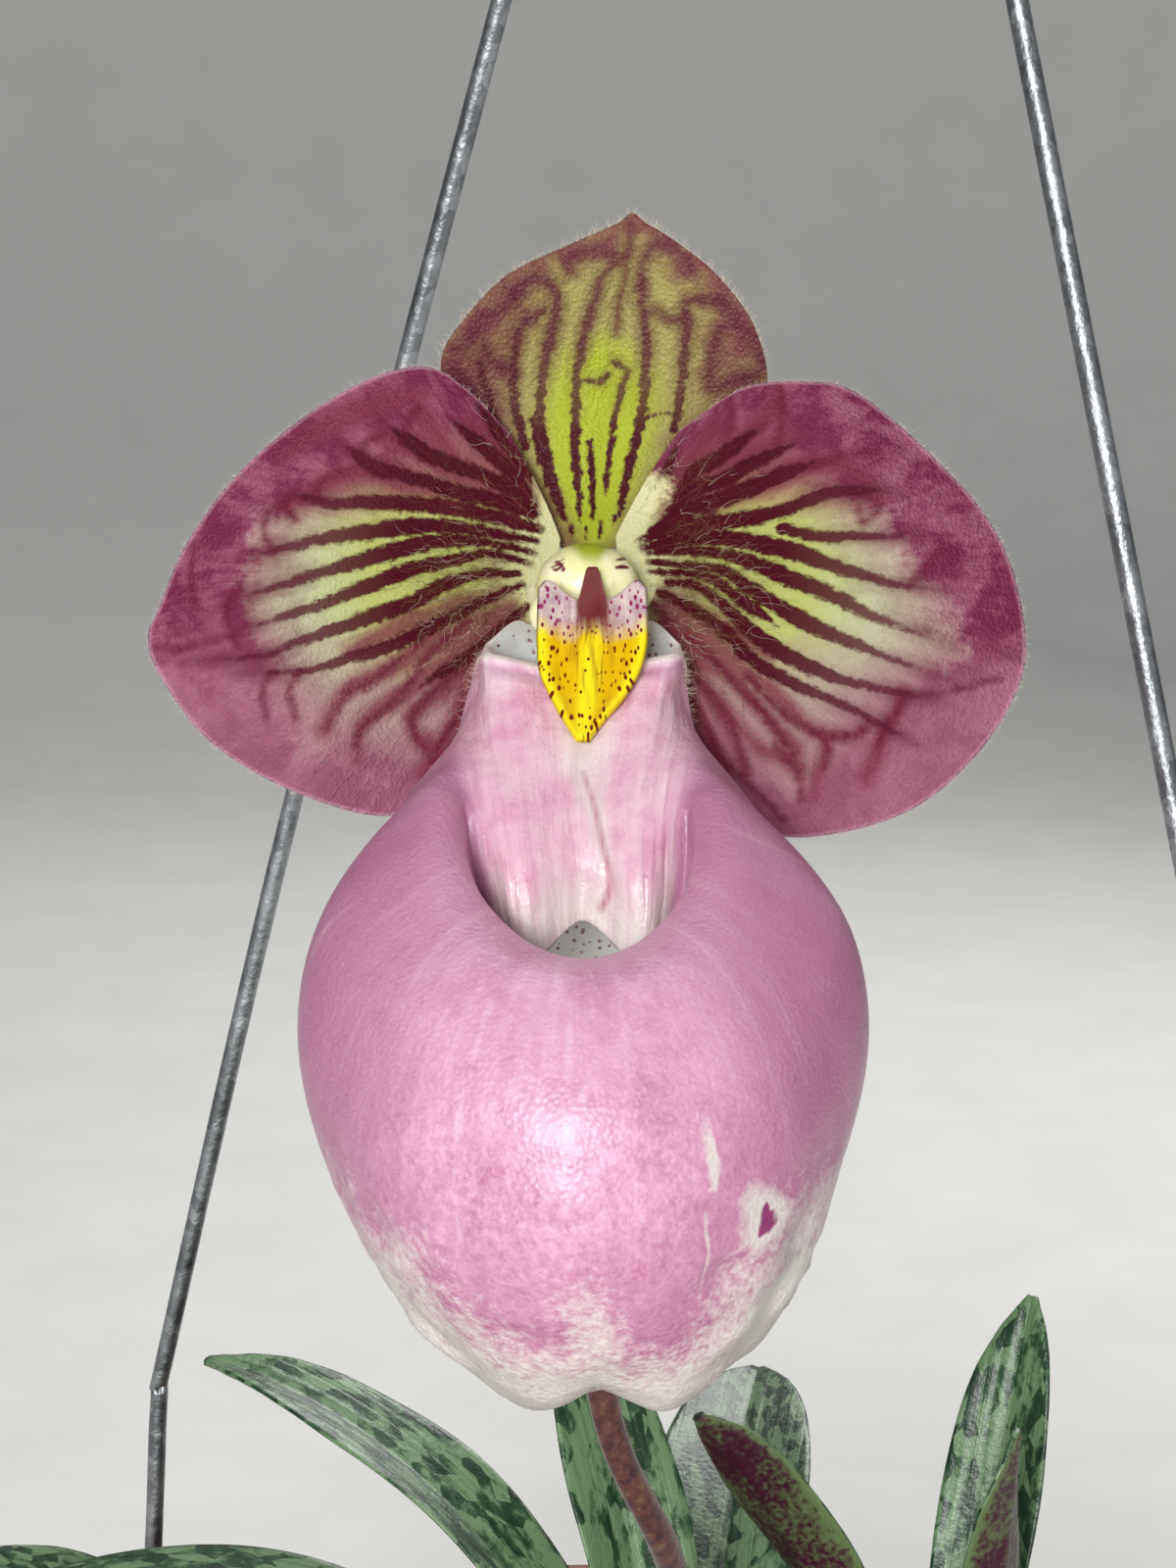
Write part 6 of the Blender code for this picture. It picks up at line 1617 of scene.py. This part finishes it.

# Pouch skin: thin and blown tight, satin, with paler veins that fan out from the mouth and a pebble
# of cells, drawn 0.45 mm across so that it shows. The foot is mottled white, and light shines through
# the skin a little. Shade is painted on its sides, sparkle in fine pale specks, and a shadow down the cleft.
lip, tree, shader = substance("satin_pouch_tissue", {
    "IOR": 1.42, "Coat Weight": 0.25, "Coat Roughness": 0.28, "Subsurface Weight": 0.5,
    "Subsurface Scale": 0.003, "Subsurface Radius": (1.0, 0.7, 0.8)})
spot, vein, seen = [add(tree, "Attribute", out=1, attribute_name=name) for name in ("spot", "vein", "seen")]
lobed, white, cream, scar, bruise, cleft = [
    add(tree, "Attribute", out=2, attribute_name=name)
    for name in ("lobe", "white", "cream", "scar", "bruise", "cleft")]
tall = add(tree, "SeparateXYZ", {0: seen}, out=1)
blotch = add(tree, "TexNoise", {0: spot, "Scale": 1 / 5.0, "Detail": 6.0, "Roughness": 0.65})
fine = add(tree, "TexNoise", {0: spot, "Scale": 1 / 0.9, "Detail": 5.0, "Roughness": 0.75})
long_way = add(tree, "Mapping", {0: vein, 3: (1 / 2.4, 1 / 60.0, 1.0)})
streak = add(tree, "TexNoise", {0: long_way, "Scale": 1.0, "Detail": 5.0, "Roughness": 0.6})
mixed = add(tree, "Math", {0: streak, 1: 0.5, 2: blotch})
upper = add(tree, "ValToRGB", {0: mixed}, stops=[(0.55, POUCH_MAUVE), (0.95, POUCH_PINK)])
grainy = add(tree, "Math", {0: fine, 1: 1.4, 2: mixed})
grainy = add(tree, "Math", {0: grainy, 1: 0.5})
deep = add(tree, "ValToRGB", {0: grainy}, stops=[(0.56, POUCH_DEEP), (0.88, POUCH_PINK)])
depth = add(tree, "MapRange", {0: tall, "From Min": -42.0, "From Max": -56.0})
body = add(tree, "Mix", {0: depth, 6: upper, 7: deep})
thin_way = add(tree, "Mapping", {0: vein, 3: (1 / 1.1, 1 / 90.0, 1.0)})
thin = add(tree, "TexNoise", {0: thin_way, "Scale": 1.0, "Detail": 2.0})
veined = add(tree, "MapRange", {0: thin, "From Min": 0.55, "From Max": 0.76, "To Max": 0.6})
patchy = add(tree, "MapRange", {0: blotch, "From Min": 0.46, "From Max": 0.62})
veined = add(tree, "Math", {0: veined, 1: patchy})
body = add(tree, "Mix", {0: veined, 6: body, 7: POUCH_VEIN})
# Painted sparkle: fine pale specks about 0.5 mm across, mixed toward the vein colour.
painted_sparkle = add(tree, "TexNoise", {0: spot, "Scale": 1 / 0.5, "Detail": 3.0, "Roughness": 0.7})
painted_sparkle = add(tree, "MapRange", {0: painted_sparkle, "From Min": 0.5, "From Max": 0.8, "To Max": 0.4})
body = add(tree, "Mix", {0: painted_sparkle, 6: body, 7: POUCH_VEIN})
# Painted shade: below the neck, the sides away from the middle are darkened toward a deeper mauve, more on
# the right.
off_centre = add(tree, "Mapping", {0: seen, 1: (2.6, 38.0, 0.0), 3: (1.0, 0.8, 1.0)})
off_centre = add(tree, "VectorMath", {0: off_centre}, out=1, operation="LENGTH")
painted_side_shade = add(tree, "Math", {0: blotch, 1: 8.0, 2: off_centre})
painted_side_shade = add(tree, "MapRange", {0: painted_side_shade, "From Min": 15.0, "From Max": 26.5, "To Max": 0.7})
below_neck = add(tree, "MapRange", {0: tall, "From Min": -12.0, "From Max": -20.0})
painted_side_shade = add(tree, "Math", {0: painted_side_shade, 1: below_neck})
body = add(tree, "Mix", {0: painted_side_shade, 6: body, 7: POUCH_PAINTED_SHADE})
edge = add(tree, "Math", {0: mixed, 1: 7.0, 2: white})
edge = add(tree, "Math", {0: fine, 1: 12.0, 2: edge})
whitened = add(tree, "MapRange", {0: edge, "From Min": 10.6, "From Max": 15.2, "To Max": 0.86})
body = add(tree, "Mix", {0: whitened, 6: body, 7: POUCH_WHITE})
lobes = add(tree, "ValToRGB", {0: mixed}, stops=[(0.55, POUCH_LOBE_DEEP), (0.9, POUCH_LOBE)])
body = add(tree, "Mix", {0: lobed, 6: body, 7: lobes})
ragged_cream = add(tree, "Math", {0: streak, 1: 1.2, 2: cream})
creamy = add(tree, "MapRange", {0: ragged_cream, "From Min": 0.7, "From Max": 1.7, "To Max": 0.9})
body = add(tree, "Mix", {0: creamy, 6: body, 7: POUCH_CREAM})
# Painted shadow: a soft dark line down the cleft between the lobes.
shadowed = add(tree, "MapRange", {0: cleft, "From Min": -0.5, "From Max": 0.1, "To Max": 0.7})
body = add(tree, "Mix", {0: shadowed, 6: body, 7: CLEFT_SHADOW_COLOUR})
halo = add(tree, "Math", {0: blotch, 1: 5.0, 2: bruise})
halo = add(tree, "MapRange", {0: halo, "From Min": 0.9, "From Max": 2.2, "To Max": 0.8})
body = add(tree, "Mix", {0: halo, 6: body, 7: POUCH_WHITE})
dark = add(tree, "MapRange", {0: bruise, "From Min": -0.1, "From Max": 0.1})
body = add(tree, "Mix", {0: dark, 6: body, 7: POUCH_BRUISED})
ragged = add(tree, "Math", {0: fine, 1: 0.5, 2: scar})
scarred = add(tree, "MapRange", {0: ragged, "From Min": 0.05, "From Max": 0.35, "To Max": 0.75})
colour = add(tree, "Mix", {0: scarred, 6: body, 7: POUCH_WHITE})
pebble = add(tree, "TexVoronoi", {0: spot, "Scale": 1 / 0.45})
wrinkle = add(tree, "Math", {0: lobed, 1: 15.0, 2: 0.8})
wrinkle = add(tree, "Math", {0: streak, 1: wrinkle})
height = add(tree, "Math", {0: pebble, 1: 1.3, 2: wrinkle})
bump = add(tree, "Bump", {"Height": height, "Strength": 0.25, "Distance": 0.0003})
rough = add(tree, "MapRange", {0: fine, "From Min": 0.3, "From Max": 0.7, "To Min": 0.32,
                               "To Max": 0.44})
rough = add(tree, "Math", {0: lobed, 1: -0.16, 2: rough})
wire(shader, {"Base Color": colour, "Roughness": rough, "Normal": bump})

# Pouch lining: dull cream, lit through the skin, with purple flecks about 0.75 mm apart.
lip_inside, tree, shader = substance("speckled_pouch_lining", {
    "Roughness": 0.45, "IOR": 1.42, "Subsurface Weight": 1.0, "Subsurface Scale": 0.006,
    "Subsurface Radius": (1.0, 0.92, 0.9)})
spot = add(tree, "Attribute", out=1, attribute_name="spot")
fleck = add(tree, "TexVoronoi", {0: spot, "Scale": 1 / 0.75})
flecked = add(tree, "MapRange", {0: fleck, "From Min": 0.28, "From Max": 0.18})
colour = add(tree, "Mix", {0: flecked, 6: POUCH_INSIDE, 7: POUCH_FLECK})
bump = add(tree, "Bump", {"Height": fleck, "Strength": 0.2, "Distance": 0.0003})
wire(shader, {"Base Color": colour, "Normal": bump})
fit(pouch, [lip, lip_inside], "pouch", "pouch")
draw = np.random.default_rng(91)
at_corner = np.argwhere((np.abs(around) > 3.2) & (np.abs(around) < 5.2) & (length > 7.6) & (length < 8.9))
picked = at_corner[draw.integers(0, len(at_corner), COLLAR_HAIRS)]
roots = rows[picked[:, 0], picked[:, 1]]
ways = np.zeros((COLLAR_HAIRS, 3)) + (0.0, -0.35, 0.1)
ways[:, 0] = np.sign(roots[:, 0])
ways = ways + draw.normal(size=(COLLAR_HAIRS, 3)) * 0.4
grow("collar_down", pale_hair, "pouch", "pouch", flower, roots, ways, draw.uniform(0.5, 1.2, COLLAR_HAIRS),
     0.05, 92)


# Studio: a plain pale floor that bends up behind, and four soft square lights in a dim grey world.
# The key light stands above and a little left of the camera. Places and sizes are in metres.
FLOOR_COLOURS = [(0.3, "#e6e5e1"), (0.7, "#ecebe7")]
WORLD_COLOUR = "#e6e9ee"
WORLD_STRENGTH = 0.16
SWEEP_START = 1.1
SWEEP_RADIUS = 0.6
LIGHTS = [
    ("key", (-0.20, -1.0, 0.50), 0.30, 11.2),
    ("fill", (0.8, -0.5, 0.3), 0.7, 1.0),
    ("rim", (0.3, 0.8, 0.8), 0.6, 6.5),
    ("top", (0.0, 0.1, 1.3), 0.9, 2.6),
]
floor_paint, tree, shader = substance("matt_floor_paint", {"Roughness": 0.9})
place = add(tree, "TexCoord", out=3)
grain = add(tree, "TexNoise", {0: place, "Scale": 1000 / 40.0, "Detail": 3.0})
colour = add(tree, "ValToRGB", {0: grain}, stops=FLOOR_COLOURS)
wire(shader, {"Base Color": colour})
sweep = [(-1.6, 0.0), (SWEEP_START, 0.0)]
for turn in np.radians(np.linspace(0, 90, 13)):
    sweep.append((SWEEP_START + SWEEP_RADIUS * math.sin(turn), SWEEP_RADIUS * (1 - math.cos(turn))))
sweep.append((SWEEP_START + SWEEP_RADIUS, 2.4))
floor = skin("floor", [[(-3.0, y, z), (3.0, y, z)] for y, z in sweep])
floor.data.materials.append(floor_paint)
world = bpy.data.worlds.new("studio")
world.use_nodes = True
world.node_tree.nodes["Background"].inputs["Color"].default_value = linear(WORLD_COLOUR)
world.node_tree.nodes["Background"].inputs["Strength"].default_value = WORLD_STRENGTH
bpy.context.scene.world = world
for name, place, size, watts in LIGHTS:
    lamp = bpy.data.lights.new(name, "AREA")
    lamp.size = size
    lamp.energy = watts
    made = bpy.data.objects.new(name, lamp)
    made.location = place
    aim = Vector(FLOWER_PLACE) * MM - Vector(place)
    made.rotation_euler = aim.to_track_quat("-Z", "Y").to_euler()
    bpy.context.scene.collection.objects.link(made)
